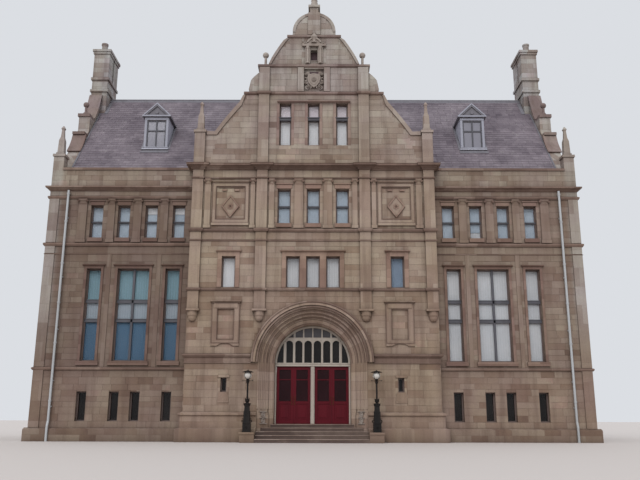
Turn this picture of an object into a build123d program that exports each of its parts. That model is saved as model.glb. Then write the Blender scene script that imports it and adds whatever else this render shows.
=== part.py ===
from build123d import *
import os
from dataclasses import dataclass, field
from math import cos, sin, atan2, hypot, pi

# A sandstone town hall: two wings with a gabled frontispiece between them.
# Millimetres. X runs along the street front, Y into the building, Z up.
# The origin is at ground level, in the middle of the frontage, in the face of the wings.

# Main block
HALF_LENGTH = 13000
DEPTH = 11000
WALL = 600
PLINTH_OUT = 180
PLINTH_HEIGHT = 610
PLINTH_WASH = 70

# Levels of the wings, each storey counted from the one below
WING_FIRST_SILL = 3350
WING_FIRST_STOREY = 5970
WING_TOP_STOREY = 2850
PARAPET_HEIGHT = 860
COPING_HEIGHT = 120
COPING_OUT = 55
STRING_OUT = 100
CORNICE_OUT = 210
CORNICE_DEPTH = 250
SILL_STRING = 150
WING_LINE = 60
WING_LINE_DROP = 540
WING_STRING = 190
FRIEZE_DROP = 480
FRIEZE_MOULD = 170

# Floors: the top of the ground floor, and how far the others lie under a sill
GROUND_FLOOR = 790
FLOOR_THICKNESS = 250
FLOOR_UNDER_SILL = 300

# Frontispiece
FRONT_HALF = 5870
FRONT_OUT = 600
PORCH_DEPTH = 1200
UPPER_WALL = 900
GABLE_WALL = 600
FRONT_PLINTH_OUT = 270
FRONT_PLINTH_HEIGHT = 630
FRONT_DADO_OUT = 110
FRONT_DADO_HEIGHT = 1330
FRONT_IMPOST = 3930
FRONT_LOWER_STOREY = 3060
FRONT_MIDDLE_STOREY = 2900
FRONT_TOP_STOREY = 3260
FRONT_FRIEZE_DROP = 690
FRONT_FRIEZE_MOULD = 90
FRONT_LINE = 90
FRONT_LINE_DROP = 560
FRONT_LINE_OUT = 45

# Pilaster strips of the frontispiece
STRIP_WIDTH = 520
STRIP_OUT = 110
STRIP_INNER_EDGE = 2230
CORBEL_TOP_BELOW_SILL = 1010
CORBEL_CAP = 90
CORBEL_CAP_OUT = 80
CORBEL_RADIUS = 235
CORBEL_HEIGHT = 480

# Gable stages, measured from the top of the main cornice
GABLE_BAND = 800
GABLE_WINDOW_STAGE = 2860
GABLE_PANEL_STAGE = 1310
GABLE_NICHE_STAGE = 1450
GABLE_LEDGE = 200
GABLE_LEDGE_OUT = 80
SHOULDER_RISE = 720
SHOULDER_RUN = 1080
STAGE_HALF = 3430
PANEL_STAGE_HALF = 3240
NICHE_STAGE_HALF = 2180
PANEL_HALF = 510
PANEL_PIER = 300
PANEL_PIER_OUT = 60
PANEL_SINK = 110
PANEL_HEAD = 60
CARVING_RISE = 640
CARVING_RING = 400
CARVING_BOSS = 260
CARVING_SCROLL = 120
CARVING_SCROLL_AT = (330, 380)
NICHE_HALF = 170
NICHE_SILL = 160
NICHE_HEIGHT = 640
NICHE_DEPTH = 260
NICHE_POSTS = (200, 440)
NICHE_POST_OUT = 90
NICHE_CORNICE_HALF = 600
NICHE_CORNICE_RISE = 960
NICHE_CORNICE = 130
HEAD_RADIUS = 1100
HEAD_STILT = 170
HEAD_RING = 150
HEAD_RING_OUT = 35
HEAD_PILASTER_HALF = 315
HEAD_PILASTER_OUT = 60
HEAD_DIE_HALF = 215
HEAD_PEDESTAL_RISE = 390
HEAD_CAP = 120
HEAD_CAP_HALF = 300

# Entrance arch, centred on the frontispiece
ARCH_SPRING = 3550
ARCH_OUTER = 2500
ARCH_FACE = 2470
ARCH_SPLAY = 2060
SPLAY_DEPTH = 400
QUIRK_DEPTH = 60
ARCH_ORDER = 1995
ARCH_ROLL = 1845
ROLL_DEPTH = 530
SOFFIT_DEPTH = 620
DOOR_HALF = 1780
JAMB_BASE_OUT = 50
JAMB_BASE_HEIGHT = 1200
JAMB_BASE_CAP = 100
HOOD_RADIUS = 2830
HOOD_WIDTH = 330
HOOD_OUT = 140

# Doors and fanlight
FRAME_POST = 75
CENTRE_POST = 180
TRANSOM_HEIGHT = 120
FRAME_DEPTH = 110
FRAME_BACK = 40
LEAF_THICKNESS = 52
LEAF_GAP = 8
LEAF_STILE = 125
LEAF_GLASS_SILL = 1030
LEAF_TOP_RAIL = 150
LEAF_GLASS = 14
HINGE_RADIUS = 9
HINGE_KNUCKLE = 60
HINGE_PLATE = 42
HINGE_PLATE_THICKNESS = 5
HINGE_SEAM = 0.4
FANLIGHT_BARS = 7
FANLIGHT_BAR = 46
FANLIGHT_RAIL_RISE = 1150
PANE = 12

# Steps and their piers
RISER = 158
TREAD = 360
STEP_HALF = 2520
LANDING_DEPTH = 450
LOWER_STEPS = 3
PIER_WIDTH = 640
PIER_HEIGHT = 450
PIER_CAP = 90
PIER_CAP_OUT = 30

# Windows: how deep the joinery sits, and its members
REVEAL = 190
SASH = 60
SASH_DEPTH = 80
SURROUND = 120
SURROUND_OUT = 45
SILL_HEIGHT = 190
SILL_OUT = 85
SILL_EAR = 60
HOOD_MOULD = 100
HOOD_MOULD_OUT = 150
HOOD_EAR = 70
HOOD_GAP = 30
FRONT_SURROUND = 200

# Windows of the wings; their places on the street are measured from the frontispiece's edge
SLIT_WIDTH = 450
SLIT_HEIGHT = 1340
SLIT_SILL = 890
TALL_HEIGHT = 4410
TALL_SILL_RISE = 270
TALL_WIDTH = 690
PAIR_WIDTH = 1530
TALL_RAILS = [1920, 2840]
TOP_WIDTH = 600
TOP_HEIGHT = 1640
TOP_SILL_RISE = 230
SLITS_U = [880, 2340, 3310, 4810]
TALL_U = [880, 4670]
PAIR_U = 2760
TOP_U = [720, 2070, 3420, 4750]
SIDE_U = [2200, 4000, 7000, 8800]
BACK_PITCH = 2600
BACK_SIDES = 4

# Windows of the frontispiece
FRONT_SLIT_U = 4050
FRONT_SLIT_SILL = 2200
FRONT_SLIT_WIDTH = 280
FRONT_SLIT_HEIGHT = 650
FRONT_SLIT_LINTEL = 110
FRONT_SLIT_APRON = 470
FRONT_MIDDLE_WIDTH = 650
FRONT_MIDDLE_HEIGHT = 1510
FRONT_MIDDLE_RISE = 20
FRONT_TRIPLE_PITCH = 950
FRONT_SINGLE_U = 4000
FRONT_TOP_WIDTH = 640
FRONT_TOP_HEIGHT = 1740
FRONT_TOP_RISE = 240
FRONT_TOP_PITCH = 1410
GABLE_WINDOW_WIDTH = 580
GABLE_WINDOW_HEIGHT = 2220
GABLE_WINDOW_RISE = 190
GABLE_RAILS = [1340]

# Pilasters between the top windows, with scrolled capitals; on the wings from the frontispiece's edge
PILASTER_OUT = 70
PILASTER_BASE = 150
PILASTER_BASE_OUT = 30
CAPITAL_HEIGHT = 240
CAPITAL_OUT = 75
VOLUTE_RADIUS = 60
WING_PILASTERS = [(1440, 380), (2745, 380), (4035, 340), (5450, 420)]
WING_STRIPS_U = [1560, 3965]
WING_STRIP_WIDTH = 200
WING_STRIP_OUT = 30
CORNER_STRIP_WIDTH = 480
CORNER_STRIP_OUT = 50
FRONT_PILASTERS = [(705, 420), (2010, 250), (2930, 210), (5110, 280)]

# Blind panels under the frontispiece's middle windows, and the diamond panels
BLIND_U = 4050
BLIND_HALF = 650
BLIND_INNER_HALF = 375
BLIND_FOOT = 4280
BLIND_APRON = 310
BLIND_HEIGHT = 1390
BLIND_HEAD = 310
BLIND_OUT = 60
BLIND_APRON_RADIUS = 560
DIAMOND_HALF = 895
DIAMOND_INNER_HALF = 690
DIAMOND_FOOT_RISE = 260
DIAMOND_HEIGHT = 2020
DIAMOND_BORDER = 200
DIAMOND_OUT = 50
DIAMOND_HALF_WIDTH = 430
DIAMOND_HALF_HEIGHT = 570
DIAMOND_BAR = 240

# Roof
ROOF_THICKNESS = 220
EAVES_UNDER_COPING = 80
RIDGE_RISE = 6200
CROSS_RIDGE_DROP = 250
RIDGE_WIDTH = 260

# Dormers
DORMER_X = 8460
DORMER_WIDTH = 1270
DORMER_FRONT = 2050
DORMER_SILL = 14800
DORMER_HEIGHT = 1950
DORMER_WALL = 110
DORMER_PEDIMENT = 800
DORMER_EAVES = 120
DORMER_FASCIA = 90
DORMER_POST = 125
DORMER_OPENING_RISE = 200
DORMER_HEAD = 150
DORMER_RAIL = 985
DORMER_CASEMENT_SET = 20
DORMER_LEDGE = 100
DORMER_LEDGE_OUT = 90
DORMER_LEDGE_EAR = 65
DORMER_RAKE = 110
DORMER_RECESS = 60
DORMER_VENT_RADIUS = 90

# Side gables and chimneys
CHIMNEY_LENGTH = 1800
CHIMNEY_WIDTH = 900
CHIMNEY_BASE = 18120
CHIMNEY_HEIGHT = 4030
CHIMNEY_BANDS = [1330, 2080]
CHIMNEY_BAND = 150
CHIMNEY_BAND_OUT = 70
CHIMNEY_CAP = 280
CHIMNEY_CAP_OUTS = [50, 95]
CHIMNEY_SLOT = 230
CHIMNEY_SLOT_RISE = 100
POT_RADIUS = 200
POT_HEIGHT = 560
FLUE_RADIUS = 130

# Side gables, as points (y, z) of their street half
SKEW_SLOPE = [(1850, 14690), (2080, 14990), (2250, 15250), (2380, 15500), (2470, 15740), (2520, 15920)]
SKEW_SCROLL = [(2700, 16070), (2850, 16170), (2950, 16300), (2990, 16450)]
SKEW_UPPER = [(3700, 17370), (3900, 17640), (4110, 17980), (4290, 18360), (4440, 18720), (4600, 19150)]
SKEW_LEDGES = [(2340, 2990, 15920, 150), (2920, 3600, 17200, 170)]
SKEW_COPING_BACK = 92
SKEW_COPING_RISE = 39
SKEW_OUT = 60
SKEW_BALL_Y = 3110
SKEW_BALL_STEM = 430

# Ornaments on the skyline
PEDESTAL = 520
PEDESTAL_HEIGHT = 850
PEDESTAL_CAP = 120
PEDESTAL_CAP_OUT = 50
OBELISK_BASE = 400
OBELISK_HEIGHT = 1600
OBELISK_FOOT = 120
OBELISK_KNOB = 230
SHOULDER_PEDESTAL_HEIGHT = 230
BALL_RADIUS = 160
BALL_STEM = 500
BALL_X = 2480
FINIAL_HEIGHT = 940

# Rainwater pipes, from the frontispiece's edge, and lamps
PIPE_RADIUS = 55
PIPE_X = 6180
PIPE_SET = 150
PIPE_CLIP = 60
PIPE_TOP_CLIP = 1200
LAMP_X = 2880
LAMP_SETBACK = 360
LAMP_BASE = 340
LAMP_PLINTH = 410
LAMP_BASE_HEIGHT = 1120
LAMP_COLLAR = 1340
LAMP_KNOB = 2150
LAMP_SEAT = 2310
LAMP_STEM_RADIUS = 38
LAMP_COLLAR_RADIUS = 105
GLOBE_RADIUS = 172
GLOBE_SEAT_RADIUS = 85
CANOPY_RADIUS = 250
CANOPY_HEIGHT = 110

# Small allowances
SEAT_GAP = 5
CURVE_GAP = 1
THROUGH = 50

# Levels worked out from the storeys
wing_sill = WING_FIRST_SILL
wing_top_sill = wing_sill + WING_FIRST_STOREY
wing_cornice = wing_top_sill + WING_TOP_STOREY
parapet_top = wing_cornice + PARAPET_HEIGHT
front_sill = FRONT_IMPOST + FRONT_LOWER_STOREY
front_top_sill = front_sill + FRONT_MIDDLE_STOREY
front_cornice = front_top_sill + FRONT_TOP_STOREY
gable_foot = front_cornice - 320
gable_sill = front_cornice + GABLE_BAND
gable_ledges = [gable_sill + GABLE_WINDOW_STAGE]
gable_ledges.append(gable_ledges[0] + GABLE_LEDGE + GABLE_PANEL_STAGE)
gable_ledges.append(gable_ledges[1] + GABLE_LEDGE + GABLE_NICHE_STAGE)
shoulder = gable_sill + SHOULDER_RISE
head_foot = gable_ledges[2] + GABLE_LEDGE
head_centre = head_foot + HEAD_STILT
front_face = -FRONT_OUT
porch_back = front_face + PORCH_DEPTH
upper_back = front_face + UPPER_WALL
gable_back = front_face + GABLE_WALL
eaves_z = parapet_top + COPING_HEIGHT - EAVES_UNDER_COPING
ridge_y = DEPTH / 2
ridge_z = eaves_z + RIDGE_RISE
roof_slope = RIDGE_RISE / (ridge_y - WALL)
roof_lift = ROOF_THICKNESS / cos(atan2(roof_slope, 1))
attic_floor = eaves_z - roof_lift
inner_x = HALF_LENGTH - WALL
pipe_x = FRONT_HALF + PIPE_X
skew_shift = ridge_y - CHIMNEY_LENGTH / 2 - SKEW_UPPER[-1][0]


# Shape helpers


def block(x0, x1, y0, y1, z0, z1):
    """A box between two opposite corners."""
    centre = Pos((x0 + x1) / 2, (y0 + y1) / 2, (z0 + z1) / 2)
    return centre * Box(abs(x1 - x0), abs(y1 - y0), abs(z1 - z0))


def plate_xz(points, y0, y1):
    """A polygon drawn in X and Z, as thick as y0 to y1."""
    edge = Polyline(*[(x, y0, z) for x, z in points], close=True)
    return extrude(make_face(edge), amount=y1 - y0, dir=(0, 1, 0))


def plate_yz(points, x0, x1):
    """A polygon drawn in Y and Z, as thick as x0 to x1."""
    edge = Polyline(*[(x0, y, z) for y, z in points], close=True)
    return extrude(make_face(edge), amount=x1 - x0, dir=(1, 0, 0))


def mirrored(shape):
    """The same shape on the other side of the middle of the building."""
    return mirror(shape, about=Plane.YZ)


def pair(shape):
    """A shape and its mirror image, as solids that do not touch."""
    return solids_of(shape) + solids_of(mirrored(shape))


def solids_of(shape):
    """All solids in a shape or a list of shapes."""
    if isinstance(shape, (list, tuple)):
        return [solid for item in shape for solid in solids_of(item)]
    return list(shape.solids())


def moulding(path, profile):
    """Sweep a profile of (out, up) points along plan points, mitred at corners.

    The outside lies on the right hand of the path.
    """
    (xa, ya), (xb, yb) = path[0], path[1]
    length = hypot(xb - xa, yb - ya)
    outward = Vector((yb - ya) / length, -(xb - xa) / length, 0)
    start = Plane(origin=(xa, ya, 0), x_dir=outward, z_dir=(outward.Y, -outward.X, 0))
    section = start * make_face(Polyline(*profile, close=True))
    route = Polyline(*[(x, y, 0) for x, y in path])
    return sweep(section, path=route, transition=Transition.RIGHT)


def concave(start, end, sag):
    """Points of an arc from start to end that sags below its chord."""
    (xa, za), (xb, zb) = start, end
    arc = SagittaArc((xa, 0, za), (xb, 0, zb), sag)
    return [(p.X, p.Z) for p in (arc @ (i / 6) for i in range(7))]


def hood_mould(x0, x1, foot, out=HOOD_MOULD_OUT):
    """A small projecting moulding with a sloped top, on the wall plane y = 0."""
    section = [(0, foot), (-out * 0.4, foot), (-out, foot + HOOD_MOULD * 0.45),
               (-out, foot + HOOD_MOULD * 0.7), (0, foot + HOOD_MOULD)]
    return plate_yz(section, x0, x1)


def square_taper(levels):
    """A four-sided body from (height, width) pairs, each stage a tapered extrusion."""
    body = []
    for (z0, w0), (z1, w1) in zip(levels, levels[1:]):
        angle = atan2((w0 - w1) / 2, z1 - z0) * 180 / pi
        body.append(Pos(0, 0, z0) * extrude(Rectangle(w0, w0), amount=z1 - z0, taper=angle))
    joined = body[0]
    for stage in body[1:]:
        joined += stage
    return joined


# Windows, drawn on a wall's own axes: u along it, d inwards, z up


@dataclass
class Window:
    """One window: where it is, its size, and how its sash is divided."""

    u: float
    sill: float
    width: float
    height: float
    rails: list = field(default_factory=list)
    mullions: int = 0

    def hole(self, depth):
        """The hole for the window, right through the wall."""
        return block(
            self.u - self.width / 2, self.u + self.width / 2,
            -THROUGH, depth + THROUGH, self.sill, self.sill + self.height,
        )

    def joinery(self):
        """The timber frame with its rails and mullions."""
        left = self.u - self.width / 2
        right = self.u + self.width / 2
        top = self.sill + self.height
        body = block(left, right, REVEAL, REVEAL + SASH_DEPTH, self.sill, top)
        edges_z = [self.sill + SASH / 2]
        edges_z += [self.sill + rail for rail in self.rails]
        edges_z.append(top - SASH / 2)
        lights = self.mullions + 1
        pitch = (self.width - SASH) / lights
        for z0, z1 in zip(edges_z, edges_z[1:]):
            for i in range(lights):
                x0 = left + SASH / 2 + i * pitch
                body -= block(
                    x0 + SASH / 2, x0 + pitch - SASH / 2,
                    REVEAL - THROUGH, REVEAL + SASH_DEPTH + THROUGH,
                    z0 + SASH / 2, z1 - SASH / 2,
                )
        return body

    def glass(self):
        """The pane behind the timber frame."""
        back = REVEAL + SASH_DEPTH
        return block(
            self.u - self.width / 2, self.u + self.width / 2,
            back, back + PANE, self.sill, self.sill + self.height,
        )

    def surround(self, side, hooded=True, silled=True):
        """The raised stones round the hole: architrave, hood and sill."""
        left = self.u - self.width / 2
        right = self.u + self.width / 2
        top = self.sill + self.height
        body = block(left - side, right + side, -SURROUND_OUT, 0, self.sill, top + side)
        body -= block(left, right, -SURROUND_OUT - THROUGH, THROUGH, self.sill - THROUGH, top)
        if hooded:
            body += hood_mould(left - side - HOOD_EAR, right + side + HOOD_EAR, top + side)
        if silled:
            body += block(left - side - SILL_EAR, right + side + SILL_EAR, -SILL_OUT, 0,
                          self.sill - SILL_HEIGHT, self.sill)
        return body


def slit(u):
    """A narrow ground-floor window."""
    return Window(u, SLIT_SILL, SLIT_WIDTH, SLIT_HEIGHT)


def tall(u, width=TALL_WIDTH, mullions=0):
    """A tall window of the first floor."""
    return Window(u, wing_sill + TALL_SILL_RISE, width, TALL_HEIGHT, TALL_RAILS, mullions)


def top_light(u):
    """A window of the top floor."""
    return Window(u, wing_top_sill + TOP_SILL_RISE, TOP_WIDTH, TOP_HEIGHT, [TOP_HEIGHT / 2])


wing_windows = [slit(FRONT_HALF + u) for u in SLITS_U]
wing_windows += [tall(FRONT_HALF + u) for u in TALL_U]
wing_windows += [tall(FRONT_HALF + PAIR_U, PAIR_WIDTH, 1)]
wing_windows += [top_light(FRONT_HALF + u) for u in TOP_U]
side_windows = [make(u) for make in (slit, tall, top_light) for u in SIDE_U]
back_axes = [i * BACK_PITCH for i in range(-BACK_SIDES, BACK_SIDES + 1)]
back_windows = [make(u) for make in (slit, tall, top_light) for u in back_axes]

slit_windows = [
    Window(side * FRONT_SLIT_U, FRONT_SLIT_SILL, FRONT_SLIT_WIDTH, FRONT_SLIT_HEIGHT)
    for side in (-1, 1)
]
middle_windows = [
    Window(u, front_sill + FRONT_MIDDLE_RISE, FRONT_MIDDLE_WIDTH, FRONT_MIDDLE_HEIGHT)
    for u in (-FRONT_SINGLE_U, -FRONT_TRIPLE_PITCH, 0, FRONT_TRIPLE_PITCH, FRONT_SINGLE_U)
]
front_top_windows = [
    Window(i * FRONT_TOP_PITCH, front_top_sill + FRONT_TOP_RISE, FRONT_TOP_WIDTH,
           FRONT_TOP_HEIGHT, [FRONT_TOP_HEIGHT / 2])
    for i in (-1, 0, 1)
]
gable_windows = [
    Window(i * FRONT_TOP_PITCH, gable_sill + GABLE_WINDOW_RISE, GABLE_WINDOW_WIDTH,
           GABLE_WINDOW_HEIGHT, GABLE_RAILS)
    for i in (-1, 0, 1)
]

# Where each wall's axes stand on the plan
front_axes = Pos(0, front_face, 0)
right_axes = Pos(HALF_LENGTH, 0, 0) * Rot(0, 0, 90)
back_axes_place = Pos(0, DEPTH, 0) * Rot(0, 0, 180)


def pierced(wall, windows, depth):
    """A wall with the holes of its windows cut through."""
    for window in windows:
        wall -= window.hole(depth)
    return wall


def plinth_run(u0, u1):
    """The base course of a wall, with a sloped top."""
    section = [
        (0, 0), (-PLINTH_OUT, 0), (-PLINTH_OUT, PLINTH_HEIGHT - PLINTH_WASH), (0, PLINTH_HEIGHT),
    ]
    return plate_yz(section, u0, u1)


# Walls of the wings


def wing_wall():
    """The street wall of the right wing, with its parapet."""
    wall = block(FRONT_HALF, HALF_LENGTH, 0, WALL, 0, parapet_top)
    wall += plinth_run(FRONT_HALF + FRONT_PLINTH_OUT, HALF_LENGTH + PLINTH_OUT)
    return pierced(wall, wing_windows, WALL)


def shifted(points):
    """Points of a side gable, moved so that its head meets the chimney."""
    return [(y + skew_shift, z) for y, z in points]


def skew_points():
    """Outline of the front half of a side gable, from the parapet up."""
    lower, upper = SKEW_LEDGES
    points = SKEW_SLOPE + [(lower[1], lower[2]), (lower[1], lower[2] + lower[3])] + SKEW_SCROLL
    points += [(lower[1], upper[2]), (upper[1], upper[2]), (upper[1], upper[2] + upper[3])]
    points = [(WALL, parapet_top)] + shifted(points + SKEW_UPPER)
    points.append((ridge_y - CHIMNEY_LENGTH / 2, CHIMNEY_BASE))
    return points


def side_wall():
    """The right side wall: plain storeys, and the shaped gable over them."""
    front = skew_points()
    back = [(DEPTH - y, z) for y, z in reversed(front)]
    outline = [(WALL, 0)] + front + back + [(DEPTH - WALL, 0)]
    wall = plate_yz(outline, inner_x, HALF_LENGTH)
    run = right_axes * plinth_run(0, DEPTH)
    holes = [right_axes * window.hole(WALL) for window in side_windows]
    wall += run
    for hole in holes:
        wall -= hole
    return wall


def back_wall():
    """The wall behind, from side to side."""
    wall = block(-HALF_LENGTH, HALF_LENGTH, 0, WALL, 0, parapet_top)
    wall += plinth_run(-HALF_LENGTH - PLINTH_OUT, HALF_LENGTH + PLINTH_OUT)
    return back_axes_place * pierced(wall, back_windows, WALL)


# Courses that run round the wings

wing_path = [
    (FRONT_HALF, 0), (HALF_LENGTH, 0), (HALF_LENGTH, DEPTH),
    (-HALF_LENGTH, DEPTH), (-HALF_LENGTH, 0), (-FRONT_HALF, 0),
]


def string_profile(top, height, out):
    """A string course with a sloped top and an undercut foot."""
    return [(0, top - height), (out * 0.55, top - height), (out, top - height * 0.6),
            (out, top - height * 0.25), (0, top)]


def wing_strings():
    """Sill string, thin line and string course of the wings."""
    levels = [
        (wing_sill, SILL_STRING, 90),
        (wing_top_sill - WING_LINE_DROP, WING_LINE, 35),
        (wing_top_sill, WING_STRING, STRING_OUT),
    ]
    return [moulding(wing_path, string_profile(*level)) for level in levels]


def wing_cornice_profile():
    """Bed mould, corona and sloped top of the wing cornice."""
    top = wing_cornice
    out = CORNICE_OUT
    return [(0, top - CORNICE_DEPTH), (60, top - 220), (60, top - 170), (out - 70, top - 110),
            (out, top - 90), (out, top - 20), (0, top + 40)]


def wing_cornices():
    """The cornice of the wings and the moulding under its frieze."""
    frieze = moulding(wing_path, string_profile(wing_cornice - FRIEZE_DROP, FRIEZE_MOULD, 90))
    return [moulding(wing_path, wing_cornice_profile()), frieze]


def parapet_copings():
    """Copings on the street parapets and on the back one."""
    end = HALF_LENGTH - PEDESTAL
    street = block(FRONT_HALF, end, -COPING_OUT, WALL, parapet_top, parapet_top + COPING_HEIGHT)
    behind = block(-end, end, DEPTH - WALL, DEPTH + COPING_OUT,
                   parapet_top, parapet_top + COPING_HEIGHT)
    return pair(street) + solids_of(behind)


def skew_copings():
    """The copings and ledges on the side gables, and the balls on the upper ledges."""
    made = []
    x0, x1 = inner_x - SKEW_OUT, HALF_LENGTH + SKEW_OUT
    for slope in (shifted(SKEW_SLOPE), shifted(SKEW_UPPER)):
        outer = [(y - SKEW_COPING_BACK, z + SKEW_COPING_RISE) for y, z in slope]
        made.append((slope, outer))
    slope, outer = made[0]
    outer[-1] = (slope[-1][0] - SKEW_COPING_BACK, slope[-1][1])
    slope, outer = made[1]
    outer[0] = (slope[0][0] - SKEW_COPING_BACK, slope[0][1])
    outer.append((slope[-1][0], slope[-1][1] + 3 * SKEW_COPING_RISE))
    strips = [plate_yz(slope + outer[::-1], x0, x1) for slope, outer in made]
    for tip, back, foot, height in SKEW_LEDGES:
        strips.append(block(inner_x, x1, tip + skew_shift, back + skew_shift, foot, foot + height))
    top = SKEW_LEDGES[1][2] + SKEW_LEDGES[1][3]
    middle = HALF_LENGTH - WALL / 2
    strips.append(Pos(middle, SKEW_BALL_Y + skew_shift, top) * turned_ball(BALL_RADIUS, SKEW_BALL_STEM))
    behind = [mirror(strip, about=Plane(origin=(0, ridge_y, 0), z_dir=(0, 1, 0))) for strip in strips]
    return pair(strips) + pair(behind)


def wing_pilaster(u, width, foot, top, out=PILASTER_OUT):
    """A flat pilaster with a base and a scrolled capital, on the plane y = 0."""
    half = width / 2
    shaft = block(u - half, u + half, -out, 0, foot, top)
    shaft += block(u - half - PILASTER_BASE_OUT, u + half + PILASTER_BASE_OUT,
                   -out - PILASTER_BASE_OUT, 0, foot, foot + PILASTER_BASE)
    bell_foot = top - CAPITAL_HEIGHT
    front = out + CAPITAL_OUT
    bell = [(0, bell_foot), (-out, bell_foot), (-out - CAPITAL_OUT * 0.3, bell_foot + CAPITAL_HEIGHT * 0.4),
            (-front, top - CAPITAL_HEIGHT * 0.3), (-front, top), (0, top)]
    shaft += plate_yz(bell, u - half, u + half)
    for side in (-1, 1):
        volute = Cylinder(VOLUTE_RADIUS, front, rotation=(90, 0, 0))
        shaft += Pos(u + side * half, -front / 2, top - CAPITAL_HEIGHT / 2) * volute
    return shaft


def wing_pilasters():
    """Pilasters of the top floor, strips between the tall windows, corner strips."""
    foot = wing_top_sill
    top = wing_cornice - FRIEZE_DROP - FRIEZE_MOULD
    made = [wing_pilaster(FRONT_HALF + u, width, foot, top) for u, width in WING_PILASTERS]
    line_foot = wing_top_sill - WING_LINE_DROP - WING_LINE
    for u in WING_STRIPS_U:
        edge = FRONT_HALF + u - WING_STRIP_WIDTH / 2
        made.append(block(edge, edge + WING_STRIP_WIDTH, -WING_STRIP_OUT, 0, wing_sill, line_foot))
    x0 = HALF_LENGTH - CORNER_STRIP_WIDTH
    strip_levels = [(PLINTH_HEIGHT, wing_sill - SILL_STRING), (wing_sill, line_foot),
                    (wing_top_sill - WING_LINE_DROP, wing_top_sill - WING_STRING), (wing_top_sill, top)]
    for z0, z1 in strip_levels:
        made.append(block(x0, HALF_LENGTH, -CORNER_STRIP_OUT, 0, z0, z1))
    return pair(made)


def panel_frame(u, half, inner_half, foot, apron, height, head, out):
    """A raised frame round a sunk panel, on the plane y = 0."""
    top = foot + apron + height + head
    frame = block(u - half, u + half, -out, 0, foot, top)
    return frame - block(u - inner_half, u + inner_half, -out - THROUGH, THROUGH,
                         foot + apron, foot + apron + height)


def blind_panel():
    """The blind panel beside the arch: frame, hood and a hollowed apron."""
    frame = panel_frame(BLIND_U, BLIND_HALF, BLIND_INNER_HALF, BLIND_FOOT, BLIND_APRON,
                        BLIND_HEIGHT, BLIND_HEAD, BLIND_OUT)
    hollow = Cylinder(BLIND_APRON_RADIUS, 4 * BLIND_OUT, rotation=(90, 0, 0))
    frame -= Pos(BLIND_U, 0, BLIND_FOOT + 140 - BLIND_APRON_RADIUS) * hollow
    top = BLIND_FOOT + BLIND_APRON + BLIND_HEIGHT + BLIND_HEAD
    edge = BLIND_HALF + HOOD_EAR
    step = block(BLIND_U - BLIND_HALF + 90, BLIND_U + BLIND_HALF - 90, -BLIND_OUT - 25, 0,
                 top - BLIND_HEAD + 60, top)
    return frame + step + hood_mould(BLIND_U - edge, BLIND_U + edge, top)


def slit_dressing():
    """Lintel and tapered apron of the small window beside the arch."""
    half = FRONT_SLIT_WIDTH / 2
    top = FRONT_SLIT_SILL + FRONT_SLIT_HEIGHT
    lintel = block(FRONT_SLIT_U - half - 130, FRONT_SLIT_U + half + 130, -SURROUND_OUT, 0,
                   top, top + FRONT_SLIT_LINTEL)
    foot = FRONT_SLIT_SILL - FRONT_SLIT_APRON
    apron = plate_xz([(FRONT_SLIT_U - half - 130, foot), (FRONT_SLIT_U + half + 130, foot),
                      (FRONT_SLIT_U + half + 60, FRONT_SLIT_SILL),
                      (FRONT_SLIT_U - half - 60, FRONT_SLIT_SILL)], -SURROUND_OUT / 2, 0)
    return [lintel, apron]


def diamond_panel():
    """The panel beside the top windows: frame, hood, raised diamond and bars."""
    foot = front_top_sill + DIAMOND_FOOT_RISE
    middle = FRONT_SINGLE_U
    inner = DIAMOND_HEIGHT - 2 * DIAMOND_BORDER
    frame = panel_frame(middle, DIAMOND_HALF, DIAMOND_INNER_HALF, foot, DIAMOND_BORDER,
                        inner, DIAMOND_BORDER, DIAMOND_OUT)
    frame += hood_mould(middle - DIAMOND_HALF, middle + DIAMOND_HALF, foot + DIAMOND_HEIGHT)
    frame += block(middle - DIAMOND_HALF, middle + DIAMOND_HALF, -SILL_OUT, 0, foot - 120, foot)
    centre = foot + DIAMOND_BORDER + DIAMOND_HALF_HEIGHT + 60
    wide, tall_half = DIAMOND_HALF_WIDTH, DIAMOND_HALF_HEIGHT
    diamond = plate_xz([(middle - wide, centre), (middle, centre - tall_half),
                        (middle + wide, centre), (middle, centre + tall_half)], -DIAMOND_OUT, 0)
    bar_z = foot + DIAMOND_HEIGHT - DIAMOND_BORDER - 190
    bars = [block(middle + side * 300 - DIAMOND_BAR / 2, middle + side * 300 + DIAMOND_BAR / 2,
                  -DIAMOND_OUT / 2, 0, bar_z, bar_z + 70) for side in (-1, 1)]
    return [frame, diamond] + bars


def wall_panels():
    """Blind panels, diamond panels and the dressings of the small windows."""
    made = [blind_panel()] + slit_dressing() + diamond_panel()
    return pair([front_axes * item for item in made])


def front_pilasters():
    """Pilasters of the frontispiece's top floor."""
    top = front_cornice - FRONT_FRIEZE_DROP - FRONT_FRIEZE_MOULD
    made = [wing_pilaster(u, width, front_top_sill, top) for u, width in FRONT_PILASTERS]
    return pair([front_axes * item for item in made])


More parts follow.
